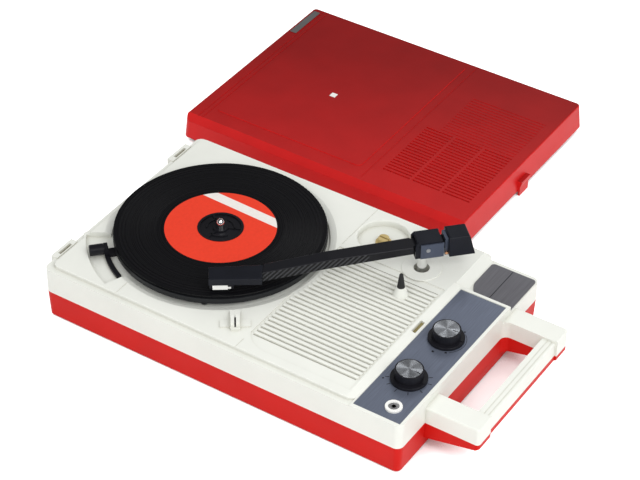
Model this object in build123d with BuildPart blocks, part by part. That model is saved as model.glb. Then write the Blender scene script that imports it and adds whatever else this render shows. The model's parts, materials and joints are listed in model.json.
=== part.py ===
# Portable record player: a cream deck on a red base with a carrying handle
# moulded into both halves, a lift-off red lid lying behind it, and a 7-inch
# record under the tonearm. Millimetres, +Z up, the floor at Z = 0.
import math
import os

from build123d import *

os.makedirs("parts", exist_ok=True)

# A cylinder either stands on its place or hangs below it
standing = (Align.CENTER, Align.CENTER, Align.MIN)
hanging = (Align.CENTER, Align.CENTER, Align.MAX)

# Case
case_length = 337.0
case_depth = 215.0
foot_height = 1.5
base_height = 24.3
deck_height = 25.4
wall = 2.4
floor_thickness = 2.4
corner_radius = 6.0
base_draft = 2.8
ledge_width = 5.0
ledge_drop = 3.0

# Handle, moulded half in the deck and half in the base
handle_reach = 46.7
handle_width = 139.5
handle_offset = -1.0
grip_opening_width = 101.5
grip_bar_width = 13.0
handle_drop = 10.0
grip_step = 2.0
grip_notch = 1.8
grip_groove = 1.0
handle_root_drop = 15.3
handle_tip_drop = 5.6
handle_corner = 6.0

# Turntable; the spindle's place is measured from the case's left front corner
spindle_inset = 96.0
spindle_setback = 111.5
record_radius = 87.5
record_thickness = 1.5
record_lift = 8.0
label_radius = 46.0
label_thickness = 0.2
adapter_radius = 19.05
spindle_radius = 3.6
spindle_tip_height = 9.0
platter_radius = 87.8
platter_plate = 2.0
platter_rim_drop = 4.6
mat_radius = 84.0
mat_thickness = 1.5
skirt_radius = 52.0
skirt_drop = 8.5
skirt_wall = 2.0
well_radius = 89.8
well_depth = 5.0
well_wall = 2.0
lip_radius = 95.0
lip_depth = 2.2
shaft_radius = 3.0
bearing_radius = 6.5
bearing_drop = 22.0
running_gap = 0.05
touch_gap = 0.3

# Motor and belt
motor_radius = 17.0
motor_height = 24.0
motor_distance = 70.0
motor_bearing = -62.0
pulley_radius = 5.2
pulley_gap = 1.5
pulley_height = 6.0
motor_shaft_radius = 1.2
belt_thickness = 0.8
belt_width = 3.0
grommet_radius = 3.5
grommet_height = 1.5
motor_screw_radius = 1.4
motor_screw_circle = 12.0

# Speed lever, concentric with the platter
pocket_radius = 110.0
pocket_start = 212.0
pocket_end = 248.5
pocket_wall = 2.4
lever_angle = 226.3
lever_inner = 76.0
lever_outer = 97.0
lever_width = 7.0
lever_height = 3.8
lever_travel = 10.0
lever_slack = 1.5
lever_stem_ring = 82.0
lever_stem_radius = 2.0
lever_slider_height = 2.2
lever_knob_radius = 4.75
lever_knob_length = 12.0
lever_knob_rise = 7.0
lever_tail_end = 245.5
lever_tail_width = 4.0
lever_tail_height = 2.0

# Tonearm; its pivot is measured from the spindle
pivot_dx = 158.7
pivot_dy = 54.7
arm_angle = 46.0
post_radius = 4.0
post_hole_radius = 6.6
pivot_ring_radius = 16.5
pivot_ring_height = 0.6
arm_bearing_length = 14.0
arm_bearing_drop = 8.0
arm_bearing_wall = 3.0
pin_ahead = 2.0
pin_rise = 25.0
pin_radius = 1.5
housing_front = -8.0
housing_back = 14.0
housing_half = 8.3
housing_inner = 6.2
housing_floor_rise = 17.0
housing_roof_rise = 32.0
housing_skin = 1.4
plate_front = -4.0
plate_thickness = 1.0
plate_top_rise = 30.5
arm_root = -9.5
arm_end = -133.0
arm_root_half = 7.0
arm_end_half = 5.5
arm_root_low = 20.6
arm_root_high = 28.0
arm_mid = -77.0
arm_mid_low = 17.2
arm_mid_high = 26.4
arm_end_low = 12.4
arm_end_high = 22.2
neck_half = 5.0
neck_low = 22.0
neck_high = 28.0
link_front = 16.8
link_back = 19.5
link_half = 6.0
link_low = 15.5
link_high = 31.5
link_screw_radius = 1.3
weight_low = 16.4
weight_high = 33.5
weight_length_low = 21.3
weight_length_high = 17.0
weight_width_low = 20.6
weight_width_high = 16.6
head_tip = -172.8
head_side = -3.4
head_twist = 10.8
head_length = 41.8
head_half = 8.0
head_low = 16.0
head_high = 22.0
cartridge_length = 19.0
cartridge_low = 10.5
tab_start = 3.0
tab_length = 12.0
tab_height = 4.2
tab_depth = 0.8
stylus_setback = 10.0
stylus_radius = 0.6

# Arm rest and buffer post, measured from the spindle
rest_dx = 72.0
rest_dy = -82.5
rest_angle = -54.6
rest_length = 22.0
rest_width = 8.0
rest_base_height = 2.6
rest_post_height = 7.0
rest_post_length = 6.5
rest_slit = 1.4
rest_wing_place = 3.0
rest_wing_width = 8.0
rest_wing_length = 24.0
rest_wing_height = 1.2
buffer_dx = 161.9
buffer_dy = 17.2
buffer_base_radius = 6.5
buffer_neck_radius = 3.5
buffer_base_height = 8.0
buffer_tip_height = 13.0
buffer_tip_radius = 1.5

# Adapter dish
dish_dx = 112.0
dish_setback = 31.5
dish_radius = 21.5
dish_depth = 6.0
dish_wall = 2.0
clip_radius = 4.6
clip_height = 5.0
clip_slot = 1.6

# Speaker grille; ribs run along the case
grille_left = 91.5
grille_margin = 8.7
grille_front = -86.0
rib_count = 26
rib_pitch = 5.0
rib_width = 3.2
rib_height = 1.1
grille_recess = 0.8
grille_recess_front = -98.8
grille_recess_back = 41.5
grille_corner = 26.0
slot_width = 1.2
speaker_dy = -28.0
speaker_margin = 2.25
speaker_depth = 16.0
cone_depth = 11.0
magnet_height = 9.0
pole_radius = 7.8
cloth_thickness = 0.6

# Control panel along the right end of the deck
panel_width = 45.3
panel_depth = 166.0
panel_rim = 2.6
panel_drop = 2.0
plate_recess = 0.8
control_plate_thickness = 0.8
slope_width = 6.0
knob_inset = 23.4
volume_dy = -61.1
tone_dy = -5.8
knob_skirt_radius = 14.6
knob_body_radius = 11.3
knob_height = 10.6
knob_skirt_height = 2.4
knob_cap_radius = 10.3
knob_cap_recess = 0.6
knob_shaft_radius = 3.0
knob_lift = 0.3
knob_turns = {"volume": -3.8, "tone": 6.7}
shaft_hole_radius = 3.8
pot_radius = 8.5
pot_height = 9.0
pot_bore_depth = 6.0
jack_inset = 16.5
jack_dy = -94.3
jack_bore_radius = 1.8
jack_bore_depth = 14.0
jack_sleeve_radius = 3.2
jack_flange_radius = 4.4
jack_flange_height = 1.2
jack_length = 17.0
jack_nut_radius = 6.8
jack_nut_height = 1.8

# Nameplate step behind the control panel
step_drop = 7.8
nameplate_inset = 41.5
step_slope = 8.5
nameplate_edge = 1.2
nameplate_back = 4.0
nameplate_round = 18.0
nameplate_thickness = 0.8

# Latch slot and lid ears on the deck
line_near_grille = 88.5
line_near_lever = 27.0
line_width = 0.8
line_depth = 0.4
latch_dy = -7.2
latch_slot_length = 15.0
latch_slot_width = 3.4
latch_slot_inset = 4.4
ear_spacing = 158.0
ear_length = 26.0
ear_reach = 4.0
ear_height = 14.0
ear_slot_length = 15.0
ear_slot_width = 2.8

# Lid, lying behind the case
lid_length = 292.0
lid_depth = 216.0
lid_height = 24.0
lid_wall = 2.2
lid_draft = 6.0
lid_dx = 0.0
lid_dy = 253.6
lid_lift = 5.0
lid_slot_count = 19
lid_slot_pitch = 4.07
lid_slot_width = 1.7
lid_slot_rows = 3
lid_row_length = 27.2
lid_row_gap = 2.6
lid_slot_start = 46.5
lid_slot_front = -76.5
lid_line_count = 15
lid_line_depth = 0.4
lid_line_width = 1.2
lid_line_front = 1.0
lid_step_x = 37.5
lid_step_width = 1.6
lid_step_front = 98.0
lid_panel_left = -125.0
lid_panel_right = 29.0
lid_panel_front = -86.0
lid_panel_back = 99.0
lid_panel_rise = 0.6
lid_strip_lines = (-132.5, -128.0)
lid_brow_height = 7.0
lid_brow_inset = 2.0
lid_brow_depth = 5.0
badge_length = 42.0
badge_width = 6.6
badge_thickness = 0.6
badge_x = -137.4
badge_y = 78.6
emblem_size = 5.6
emblem_x = -48.8
emblem_y = -8.3
catch_width = 15.0
catch_height = 15.0
catch_depth = 3.2
catch_thickness = 1.8
hook_length = 13.0
hook_thickness = 2.0

# Battery bay under the deck, opening through the base
bay_length = 132.0
bay_front_gap = 15.0
bay_back_gap = 18.5
bay_height = 34.0
bay_wall = 1.6
bay_dx = -8.0
bay_door_travel = 12.0
bay_flange = 1.4
door_gap = 0.25
door_thickness = 2.1
door_lip = 0.8
contact_width = 10.0
contact_height = 18.0
contact_thickness = 0.6

# Small hardware
foot_radius = 7.0
foot_inset_x = 13.0
foot_inset_y = 28.0
boss_radius = 4.0
boss_bore = 1.5
screw_radius = 1.4
screw_head_radius = 3.2
screw_head_depth = 2.0
boss_inset = 10.0
board_length = 60.0
board_depth = 44.0
board_thickness = 1.6
board_post = 6.0
board_dx = -46.0
board_dy = -78.0

# Heights
base_bottom = foot_height
seam = base_bottom + base_height
plateau = seam + deck_height
ledge = plateau - ledge_drop
record_top = plateau + record_lift
panel_top = plateau - panel_drop
plate_top = panel_top - plate_recess
step_top = plateau - step_drop
well_floor = plateau - well_depth
cup_bottom = well_floor - well_wall
grille_floor = plateau - grille_recess
deck_under = grille_floor - wall
step_under = step_top - wall
panel_under = plate_top - control_plate_thickness - wall
mat_top = record_top - record_thickness
platter_top = mat_top - mat_thickness
handle_top = plateau - handle_drop
inner_floor = base_bottom + floor_thickness

# Plan: the whole set of case and lid is centred on the origin
whole_length = lid_length / 2 - lid_dx + case_length - spindle_inset + handle_reach
whole_depth = spindle_setback + lid_dy + lid_depth / 2
case_left = whole_length / 2 - handle_reach - case_length
case_right = case_left + case_length
case_front = -whole_depth / 2
case_back = case_front + case_depth
case_x = case_left + case_length / 2
case_y = case_front + case_depth / 2
spindle_x = case_left + spindle_inset
spindle_y = case_front + spindle_setback
panel_left = case_right - panel_width
panel_back = case_front + panel_depth
grille_right = panel_left - spindle_x - grille_margin
speaker_radius = (grille_right - grille_left) / 2 - speaker_margin
magnet_radius = speaker_radius * 0.48
bay_width = case_back - spindle_y - bay_front_gap - bay_back_gap
handle_y = case_y + handle_offset
lid_x = spindle_x + lid_dx
lid_y = spindle_y + lid_dy
pivot_x = spindle_x + pivot_dx
pivot_y = spindle_y + pivot_dy
arm_back = Vector(math.cos(math.radians(arm_angle)), math.sin(math.radians(arm_angle)), 0)
arm_side = Vector(arm_back.Y, -arm_back.X, 0)
motor_x = spindle_x + motor_distance * math.cos(math.radians(motor_bearing))
motor_y = spindle_y + motor_distance * math.sin(math.radians(motor_bearing))


def level(height, x=0.0, y=0.0):
    """A flat plane at a height, with its centre at x and y."""
    return Plane(origin=(x, y, height))


def deck_spot(height, dx, dy):
    """A flat plane at a height over a point measured from the spindle."""
    return level(height, spindle_x + dx, spindle_y + dy)


def arm_plan(height):
    """A flat plane over the tonearm's pivot, its x running rearward along the arm."""
    return Plane(origin=(pivot_x, pivot_y, height), x_dir=arm_back, z_dir=(0, 0, 1))


def arm_profile(offset=0.0):
    """An upright plane along the arm: x rearward from the pivot, y up from the plateau."""
    origin = Vector(pivot_x, pivot_y, plateau) + arm_side * offset
    return Plane(origin=origin, x_dir=arm_back, z_dir=arm_side)


def ring_sector(height, inner, outer, start, end):
    """A flat piece of a ring round the spindle, between two angles."""
    plane = deck_spot(height, 0, 0)
    with BuildSketch(plane) as sector:
        with BuildLine():
            far = CenterArc((0, 0), outer, start, end - start)
            near = CenterArc((0, 0), inner, start, end - start)
            Line(far @ 0, near @ 0)
            Line(far @ 1, near @ 1)
        make_face()
    return sector.sketch


def outline(height, length, depth, radius, x=case_x, y=case_y):
    """A rounded rectangle at a height."""
    with BuildSketch(level(height, x, y)) as area:
        RectangleRounded(length, depth, radius)
    return area.sketch


def slab(height, left, right, front, back):
    """A plain rectangle at a height, given by its four sides."""
    with BuildSketch(level(height, (left + right) / 2, (front + back) / 2)) as area:
        Rectangle(right - left, back - front)
    return area.sketch


# Places shared by several pieces
screw_spots = [
    (case_x + sx * (case_length / 2 - boss_inset), case_y + sy * (case_depth / 2 - boss_inset))
    for sx in (-1, 1)
    for sy in (-1, 1)
]
foot_spots = [
    (case_x + sx * (case_length / 2 - foot_inset_x), case_y + sy * (case_depth / 2 - foot_inset_y))
    for sx in (-1, 1)
    for sy in (-1, 1)
]
knob_spots = {
    "volume": (case_right - knob_inset, spindle_y + volume_dy),
    "tone": (case_right - knob_inset, spindle_y + tone_dy),
}
jack_spot = (case_right - jack_inset, spindle_y + jack_dy)
bay_x = spindle_x + bay_dx
bay_y = spindle_y + bay_front_gap + bay_width / 2
board_x = spindle_x + board_dx
board_y = spindle_y + board_dy
post_spots = [
    (board_x + sx * (board_length / 2 - 4), board_y + sy * (board_depth / 2 - 4))
    for sx in (-1, 1)
    for sy in (-1, 1)
]
ear_spots = [case_y + side * ear_spacing / 2 for side in (-1, 1)]
motor_screw_spots = [
    (
        motor_x + motor_screw_circle * math.cos(math.radians(turn)),
        motor_y + motor_screw_circle * math.sin(math.radians(turn)),
    )
    for turn in (45, 165, 285)
]
dish_x = spindle_x + dish_dx
dish_y = case_back - dish_setback
buffer_x = spindle_x + buffer_dx
buffer_y = spindle_y + buffer_dy
pocket_hull = ring_sector(
    cup_bottom, well_radius, pocket_radius + pocket_wall, pocket_start - 1.5, pocket_end + 1.5
)

# Lower case: the red tray with the lower half of the handle
opening_left = case_right
opening_right = case_right + handle_reach - grip_bar_width
opening_front = handle_y - grip_opening_width / 2
opening_back = handle_y + grip_opening_width / 2
handle_front = handle_y - handle_width / 2
handle_back = handle_y + handle_width / 2
handle_end = case_right + handle_reach
root_low = seam - handle_root_drop
tip_low = seam - handle_tip_drop

with BuildPart() as lower_case:
    extrude(outline(seam, case_length, case_depth, corner_radius), amount=-base_height, taper=base_draft)
    extrude(
        outline(inner_floor, case_length - 2 * wall - 2, case_depth - 2 * wall - 2, corner_radius - wall),
        amount=seam - inner_floor,
        mode=Mode.SUBTRACT,
    )
    with BuildSketch(Plane(origin=(case_right - wall, handle_y, 0), x_dir=(1, 0, 0), z_dir=(0, -1, 0))):
        with BuildLine():
            Polyline(
                (0, seam),
                (0, root_low),
                (wall, root_low),
                (handle_reach + wall - 3.0, tip_low),
                (handle_reach + wall, tip_low + 1.5),
                (handle_reach + wall, seam),
                close=True,
            )
        make_face()
    extrude(amount=handle_width / 2, both=True)
    handle_corners = lower_case.edges().filter_by(Axis.Z).filter_by(
        lambda edge: edge.center().X > case_right + handle_reach / 2
    )
    fillet(handle_corners, handle_corner / 2)
    extrude(
        slab(base_bottom, opening_left, opening_right, opening_front, opening_back),
        amount=base_height,
        mode=Mode.SUBTRACT,
    )
    grip_corners = lower_case.edges().filter_by(Axis.Z).filter_by(
        lambda edge: opening_left - 0.1 < edge.center().X < opening_left + 0.1
        and abs(edge.center().Y - handle_y) < grip_opening_width / 2 + 0.1
        and edge.center().Z < seam
    )
    fillet(grip_corners.group_by(Axis.Y)[-1], handle_corner)
    grip_hollow = slab(
        seam, opening_right + wall, handle_end - wall - grip_notch, handle_front + wall, handle_back - wall
    )
    extrude(grip_hollow, amount=-handle_tip_drop + wall, mode=Mode.SUBTRACT)
    for front, back in ((handle_front, opening_front), (opening_back, handle_back)):
        extrude(
            slab(seam, case_right + wall, opening_right + wall, front + wall, back - wall),
            amount=-handle_tip_drop + wall,
            mode=Mode.SUBTRACT,
        )
    extrude(
        slab(base_bottom, handle_end - grip_notch, handle_end + 1, opening_front - 1, opening_back + 1),
        amount=base_height,
        mode=Mode.SUBTRACT,
    )
    with Locations(*[(x, y, inner_floor) for x, y in screw_spots]):
        Cylinder(boss_radius, seam - inner_floor, align=standing)
    with Locations(*[(x, y, inner_floor) for x, y in post_spots]):
        Cylinder(3.0, board_post, align=standing)
    with Locations(*[(x, y, base_bottom) for x, y in screw_spots]):
        Cylinder(
            screw_head_radius + 0.4,
            screw_head_depth,
            align=standing,
            mode=Mode.SUBTRACT,
        )
        Cylinder(
            boss_bore,
            base_height,
            align=standing,
            mode=Mode.SUBTRACT,
        )
    bay_rear = bay_y + bay_width / 2 + bay_door_travel
    extrude(
        slab(
            base_bottom + door_lip,
            bay_x - bay_length / 2,
            bay_x + bay_length / 2,
            bay_y - bay_width / 2,
            bay_rear,
        ),
        amount=floor_thickness,
        mode=Mode.SUBTRACT,
    )
    extrude(
        slab(
            base_bottom,
            bay_x - bay_length / 2 + 1,
            bay_x + bay_length / 2 - 1,
            bay_y - bay_width / 2,
            bay_rear,
        ),
        amount=floor_thickness,
        mode=Mode.SUBTRACT,
    )
lower_case.part.label = "lower_case"
export_step(lower_case.part, "parts/lower_case.step")

# Top deck: the cream moulding that carries the turntable, grille and panel
plateau_left = case_left + ledge_width
plateau_right = panel_left
plateau_front = case_front + ledge_width
plateau_back = case_back - ledge_width / 2
step_left = case_right - nameplate_inset - step_slope
nameplate_rear = case_back - nameplate_back

with BuildSketch(level(deck_under)) as deck_hollow:
    with Locations(((plateau_left + plateau_right) / 2, (case_front + case_back) / 2)):
        Rectangle(plateau_right - plateau_left - 2 * wall, case_depth - 2 * (wall + ledge_width))
    with Locations(((step_left + plateau_right) / 2, (panel_back + case_back) / 2)):
        Rectangle(plateau_right - step_left + 2 * wall, case_back - panel_back + 2 * wall, mode=Mode.SUBTRACT)

with BuildSketch(level(plateau)) as grille_area:
    with BuildLine():
        left = spindle_x + grille_left - 2.5
        right = spindle_x + grille_right + 1.5
        front = spindle_y + grille_recess_front
        back = spindle_y + grille_recess_back
        Line((right, front), (left + grille_corner, front))
        bend = RadiusArc((left + grille_corner, front), (left, front + grille_corner / 2), grille_corner)
        Polyline(bend @ 1, (left, back), (right, back), (right, front))
    make_face()

rib_rows = [spindle_y + grille_front + rib_pitch / 2 + rib_pitch * row for row in range(rib_count - 2)]
slot_rows = [spindle_y + grille_front + rib_pitch * row for row in range(rib_count - 1)]


def grille_start(row, clearance):
    """The x of a rib's left end, kept clear of the round lip of the well."""
    reach = lip_radius + clearance
    across = row - spindle_y
    near_lip = math.sqrt(reach**2 - across**2) if abs(across) < reach else 0.0
    return spindle_x + max(grille_left, near_lip)


with BuildPart() as top_deck:
    extrude(outline(seam, case_length, case_depth, corner_radius), amount=step_top - seam)
    extrude(
        slab(step_top, case_left + corner_radius, panel_left, case_front, case_back),
        amount=ledge - step_top,
    )
    extrude(
        slab(step_top, panel_left, case_right - corner_radius, case_front, panel_back),
        amount=panel_top - step_top,
    )
    extrude(
        slab(step_top, case_left, case_right, case_front + corner_radius, panel_back),
        amount=ledge - step_top,
    )
    extrude(
        slab(step_top, panel_left, case_right, case_front + corner_radius, panel_back),
        amount=panel_top - step_top,
    )
    extrude(
        slab(step_top, case_left, panel_left, case_front + corner_radius, case_back - corner_radius),
        amount=ledge - step_top,
    )
    with Locations(
        (case_left + corner_radius, case_front + corner_radius, step_top),
        (case_left + corner_radius, case_back - corner_radius, step_top),
    ):
        Cylinder(corner_radius, ledge - step_top, align=standing)
    with Locations((case_right - corner_radius, case_front + corner_radius, step_top)):
        Cylinder(corner_radius, panel_top - step_top, align=standing)
    extrude(
        outline(
            ledge,
            plateau_right - plateau_left,
            plateau_back - plateau_front,
            corner_radius,
            (plateau_left + plateau_right) / 2,
            (plateau_front + plateau_back) / 2,
        ),
        amount=ledge_drop,
    )
    fillet(
        top_deck.faces().filter_by(Axis.Z).sort_by(Axis.Z)[-1].outer_wire().edges().filter_by(
            lambda edge: edge.center().X < plateau_right - 1
        ),
        0.8,
    )
    # The plateau falls away along its right end, deeper beside the nameplate
    extrude(
        slab(step_top, step_left, step_left + step_slope, panel_back, plateau_back),
        amount=plateau - step_top,
    )
    with BuildSketch(Plane(origin=(0, case_back, 0), x_dir=(1, 0, 0), z_dir=(0, -1, 0))):
        with BuildLine():
            Polyline(
                (step_left, plateau),
                (step_left + step_slope, step_top),
                (step_left + step_slope + 1, step_top),
                (step_left + step_slope + 1, plateau + 1),
                (step_left, plateau + 1),
                close=True,
            )
        make_face()
    extrude(amount=case_back - panel_back, mode=Mode.SUBTRACT)
    with BuildSketch(Plane(origin=(0, panel_back, 0), x_dir=(1, 0, 0), z_dir=(0, -1, 0))):
        with BuildLine():
            Polyline(
                (panel_left - slope_width, plateau),
                (panel_left, panel_top),
                (panel_left, plateau + 1),
                (panel_left - slope_width, plateau + 1),
                close=True,
            )
        make_face()
    extrude(amount=panel_back - case_front, mode=Mode.SUBTRACT)

    # Upper half of the handle
    extrude(
        slab(seam, case_right - wall, handle_end, handle_front, handle_back),
        amount=handle_top - seam,
    )
    top_corners = top_deck.edges().filter_by(Axis.Z).filter_by(
        lambda edge: edge.center().X > case_right + handle_reach / 2
    )
    fillet(top_corners, handle_corner / 2)
    extrude(
        slab(seam, opening_left, opening_right, opening_front, opening_back),
        amount=handle_top - seam,
        mode=Mode.SUBTRACT,
    )
    extrude(
        slab(handle_top - grip_step, opening_right - 1, handle_end + 1, opening_front, opening_back),
        amount=grip_step,
        mode=Mode.SUBTRACT,
    )
    extrude(
        slab(seam, handle_end - grip_notch, handle_end + 1, opening_front - 1, opening_back + 1),
        amount=handle_top - seam,
        mode=Mode.SUBTRACT,
    )
    for rank in (0.34, 0.62):
        ridge = opening_right + grip_bar_width * rank
        extrude(
            slab(handle_top - grip_step - 0.5, ridge, ridge + grip_groove, opening_front, opening_back),
            amount=grip_step,
            mode=Mode.SUBTRACT,
        )
    opening_corners = top_deck.edges().filter_by(Axis.Z).filter_by(
        lambda edge: opening_left - 0.1 < edge.center().X < opening_left + 0.1
        and abs(edge.center().Y - handle_y) < grip_opening_width / 2 + 0.1
        and edge.center().Z < handle_top
    )
    fillet(opening_corners.group_by(Axis.Y)[-1], handle_corner)
    handle_edges = top_deck.edges().filter_by(Axis.Y).filter_by(
        lambda edge: edge.center().X > handle_end - grip_notch - 0.1
        and edge.center().Z > handle_top - grip_step - 0.1
    )
    fillet(handle_edges, 1.2)

    # Hollow underneath
    extrude(
        outline(seam, case_length - 2 * wall, case_depth - 2 * wall, corner_radius - wall),
        amount=step_under - seam,
        mode=Mode.SUBTRACT,
    )
    extrude(deck_hollow.sketch, amount=step_under - deck_under, mode=Mode.SUBTRACT)
    extrude(
        slab(step_under, panel_left + wall, case_right - wall, case_front + 2 * wall, panel_back - wall),
        amount=panel_under - step_under,
        mode=Mode.SUBTRACT,
    )
    extrude(
        slab(
            seam,
            opening_right + wall,
            handle_end - wall - grip_notch,
            handle_front + wall,
            handle_back - wall,
        ),
        amount=handle_top - grip_step - wall - seam,
        mode=Mode.SUBTRACT,
    )
    for front, back in ((handle_front, opening_front), (opening_back, handle_back)):
        extrude(
            slab(seam, case_right + wall, opening_right + wall, front + wall, back - wall),
            amount=handle_top - grip_step - wall - seam,
            mode=Mode.SUBTRACT,
        )
    with Locations((spindle_x, spindle_y, cup_bottom)):
        Cylinder(well_radius + well_wall, deck_under - cup_bottom + 1, align=standing)
    extrude(pocket_hull, amount=deck_under - cup_bottom + 1)
    with Locations((dish_x, dish_y, plateau - dish_depth - dish_wall)):
        Cylinder(
            dish_radius + dish_wall, dish_depth, align=standing
        )
    with Locations((pivot_x, pivot_y, plateau - arm_bearing_drop - arm_bearing_length)):
        Cylinder(
            post_hole_radius + arm_bearing_wall,
            arm_bearing_drop + arm_bearing_length - wall,
            align=standing,
        )
    for (x, y), top in zip(screw_spots, (deck_under, deck_under, panel_under, step_under)):
        with Locations((x, y, seam)):
            Cylinder(boss_radius, top - seam + 0.5, align=standing)
            Cylinder(
                boss_bore,
                step_under - seam - 2,
                align=standing,
                mode=Mode.SUBTRACT,
            )

    # Well, lip, lever pocket and dish
    with Locations((spindle_x, spindle_y, well_floor)):
        Cylinder(
            well_radius, well_depth + 1, align=standing, mode=Mode.SUBTRACT
        )
    extrude(
        ring_sector(well_floor, well_radius - 1, pocket_radius, pocket_start, pocket_end),
        amount=well_depth + 1,
        mode=Mode.SUBTRACT,
    )
    with Locations((dish_x, dish_y, plateau - dish_depth)):
        Cylinder(
            dish_radius, dish_depth + 1, align=standing, mode=Mode.SUBTRACT
        )
    fillet(
        top_deck.edges().filter_by(GeomType.CIRCLE).filter_by(
            lambda edge: abs(edge.radius - dish_radius) < 0.01 and edge.center().Z > plateau - 0.1
        ),
        1.5,
    )

    # Pivot ring and its hole
    with Locations((pivot_x, pivot_y, plateau - 0.2)):
        Cylinder(pivot_ring_radius, pivot_ring_height + 0.2, align=standing)
    fillet(
        top_deck.edges().filter_by(GeomType.CIRCLE).filter_by(
            lambda edge: abs(edge.radius - pivot_ring_radius) < 0.01
            and edge.center().Z > plateau + pivot_ring_height - 0.1
        ),
        pivot_ring_height * 0.8,
    )
    with Locations((pivot_x, pivot_y, seam)):
        Cylinder(
            post_hole_radius,
            record_top - seam,
            align=standing,
            mode=Mode.SUBTRACT,
        )

    # Grille: a shallow recess with ribs and sound slots
    extrude(grille_area.sketch, amount=-grille_recess, mode=Mode.SUBTRACT)
    for row in rib_rows:
        start = grille_start(row, 1.0)
        with BuildSketch(Plane(origin=(start, row, grille_floor), x_dir=(0, 1, 0), z_dir=(1, 0, 0))):
            with BuildLine():
                rise = Polyline(
                    (-rib_width / 2, -0.2),
                    (-rib_width / 2, rib_height * 0.55),
                    (-rib_width / 4, rib_height),
                    (rib_width / 4, rib_height),
                    (rib_width / 2, rib_height * 0.55),
                    (rib_width / 2, -0.2),
                    close=True,
                )
            make_face()
        extrude(amount=spindle_x + grille_right - start)
    for row in slot_rows:
        start = grille_start(row, 3.0)
        extrude(
            slab(
                deck_under - 0.1,
                start,
                spindle_x + grille_right - 1,
                row - slot_width / 2,
                row + slot_width / 2,
            ),
            amount=wall + 0.2,
            mode=Mode.SUBTRACT,
        )

    # Buffer post on the grille
    with BuildSketch(Plane(origin=(buffer_x, buffer_y, grille_floor), x_dir=(1, 0, 0), z_dir=(0, -1, 0))):
        with BuildLine():
            Polyline(
                (0, -0.5),
                (buffer_base_radius, -0.5),
                (buffer_base_radius, 0.6),
                (buffer_neck_radius, buffer_base_height + grille_recess),
                (0, buffer_base_height + grille_recess),
                close=True,
            )
        make_face()
    revolve(axis=Axis((buffer_x, buffer_y, 0), (0, 0, 1)))

    # Lip of the well, cut last so that it trims what stands in its way
    with BuildSketch(Plane(origin=(spindle_x, spindle_y, plateau), x_dir=(1, 0, 0), z_dir=(0, -1, 0))):
        with BuildLine():
            Polyline(
                (well_radius - 1, rib_height + 1),
                (well_radius - 1, -lip_depth),
                (well_radius, -lip_depth),
                (lip_radius, 0),
                (lip_radius, rib_height + 1),
                close=True,
            )
        make_face()
    revolve(axis=Axis((spindle_x, spindle_y, 0), (0, 0, 1)), mode=Mode.SUBTRACT)

    # Fine step lines across the plateau
    for along, front, back in (
        (spindle_x + line_near_grille, plateau_front, plateau_front + 11),
        (spindle_x + line_near_grille, spindle_y + grille_recess_back + 3, plateau_back),
        (spindle_x - line_near_lever, plateau_front, plateau_front + 16),
    ):
        extrude(
            slab(plateau - line_depth, along, along + line_width, front, back),
            amount=line_depth + 0.5,
            mode=Mode.SUBTRACT,
        )

    # Panel recess with its holes, nameplate recess and latch slot
    extrude(
        slab(
            plate_top - control_plate_thickness,
            panel_left + panel_rim / 2,
            case_right - panel_rim,
            case_front + panel_rim + 0.6,
            panel_back - panel_rim,
        ),
        amount=plate_recess + control_plate_thickness + 0.5,
        mode=Mode.SUBTRACT,
    )
    with Locations(*[(x, y, step_under) for x, y in knob_spots.values()]):
        Cylinder(
            shaft_hole_radius,
            record_lift + wall,
            align=standing,
            mode=Mode.SUBTRACT,
        )
    with Locations((jack_spot[0], jack_spot[1], step_under)):
        Cylinder(
            jack_sleeve_radius,
            record_lift + wall,
            align=standing,
            mode=Mode.SUBTRACT,
        )
    extrude(
        slab(
            deck_under - 5,
            panel_left - latch_slot_inset,
            panel_left - latch_slot_inset + latch_slot_width,
            spindle_y + latch_dy - latch_slot_length / 2,
            spindle_y + latch_dy + latch_slot_length / 2,
        ),
        amount=ledge_drop + wall + 8,
        mode=Mode.SUBTRACT,
    )

    # Ears on the left end, each with a slot for a lid hook
    for ear_y in ear_spots:
        extrude(
            slab(
                panel_top - ear_height,
                case_left - ear_reach,
                case_left + wall,
                ear_y - ear_length / 2,
                ear_y + ear_length / 2,
            ),
            amount=ear_height,
        )
        extrude(
            slab(
                panel_top - ear_height,
                case_left - ear_slot_width / 2,
                case_left + ear_slot_width / 2,
                ear_y - ear_slot_length / 2,
                ear_y + ear_slot_length / 2,
            ),
            amount=ear_height + 1,
            mode=Mode.SUBTRACT,
        )
    # Holes in the well floor: bearing, motor pulley, motor screws and lever slot
    with Locations((spindle_x, spindle_y, cup_bottom - bearing_drop)):
        Cylinder(bearing_radius, bearing_drop + well_wall, align=standing, mode=Mode.SUBTRACT)
    with Locations((motor_x, motor_y, cup_bottom - 1)):
        Cylinder(pulley_radius + pulley_gap, well_wall + 2, align=standing, mode=Mode.SUBTRACT)
    with Locations(*[(x, y, cup_bottom - 1) for x, y in motor_screw_spots]):
        Cylinder(motor_screw_radius, well_wall + 2, align=standing, mode=Mode.SUBTRACT)
    extrude(
        ring_sector(
            cup_bottom - 1,
            lever_stem_ring - lever_stem_radius - touch_gap,
            lever_stem_ring + lever_stem_radius + touch_gap,
            lever_angle - lever_travel - 3,
            lever_angle + lever_slack + 3,
        ),
        amount=well_wall + 2,
        mode=Mode.SUBTRACT,
    )
top_deck.part.label = "top_deck"
export_step(top_deck.part, "parts/top_deck.step")


# Cabinet hardware
with BuildPart() as rubber_feet:
    with Locations(*[(x, y, 0) for x, y in foot_spots]):
        Cylinder(foot_radius, foot_height, align=standing)
rubber_feet.part.label = "rubber_feet"
export_step(rubber_feet.part, "parts/rubber_feet.step")

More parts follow.
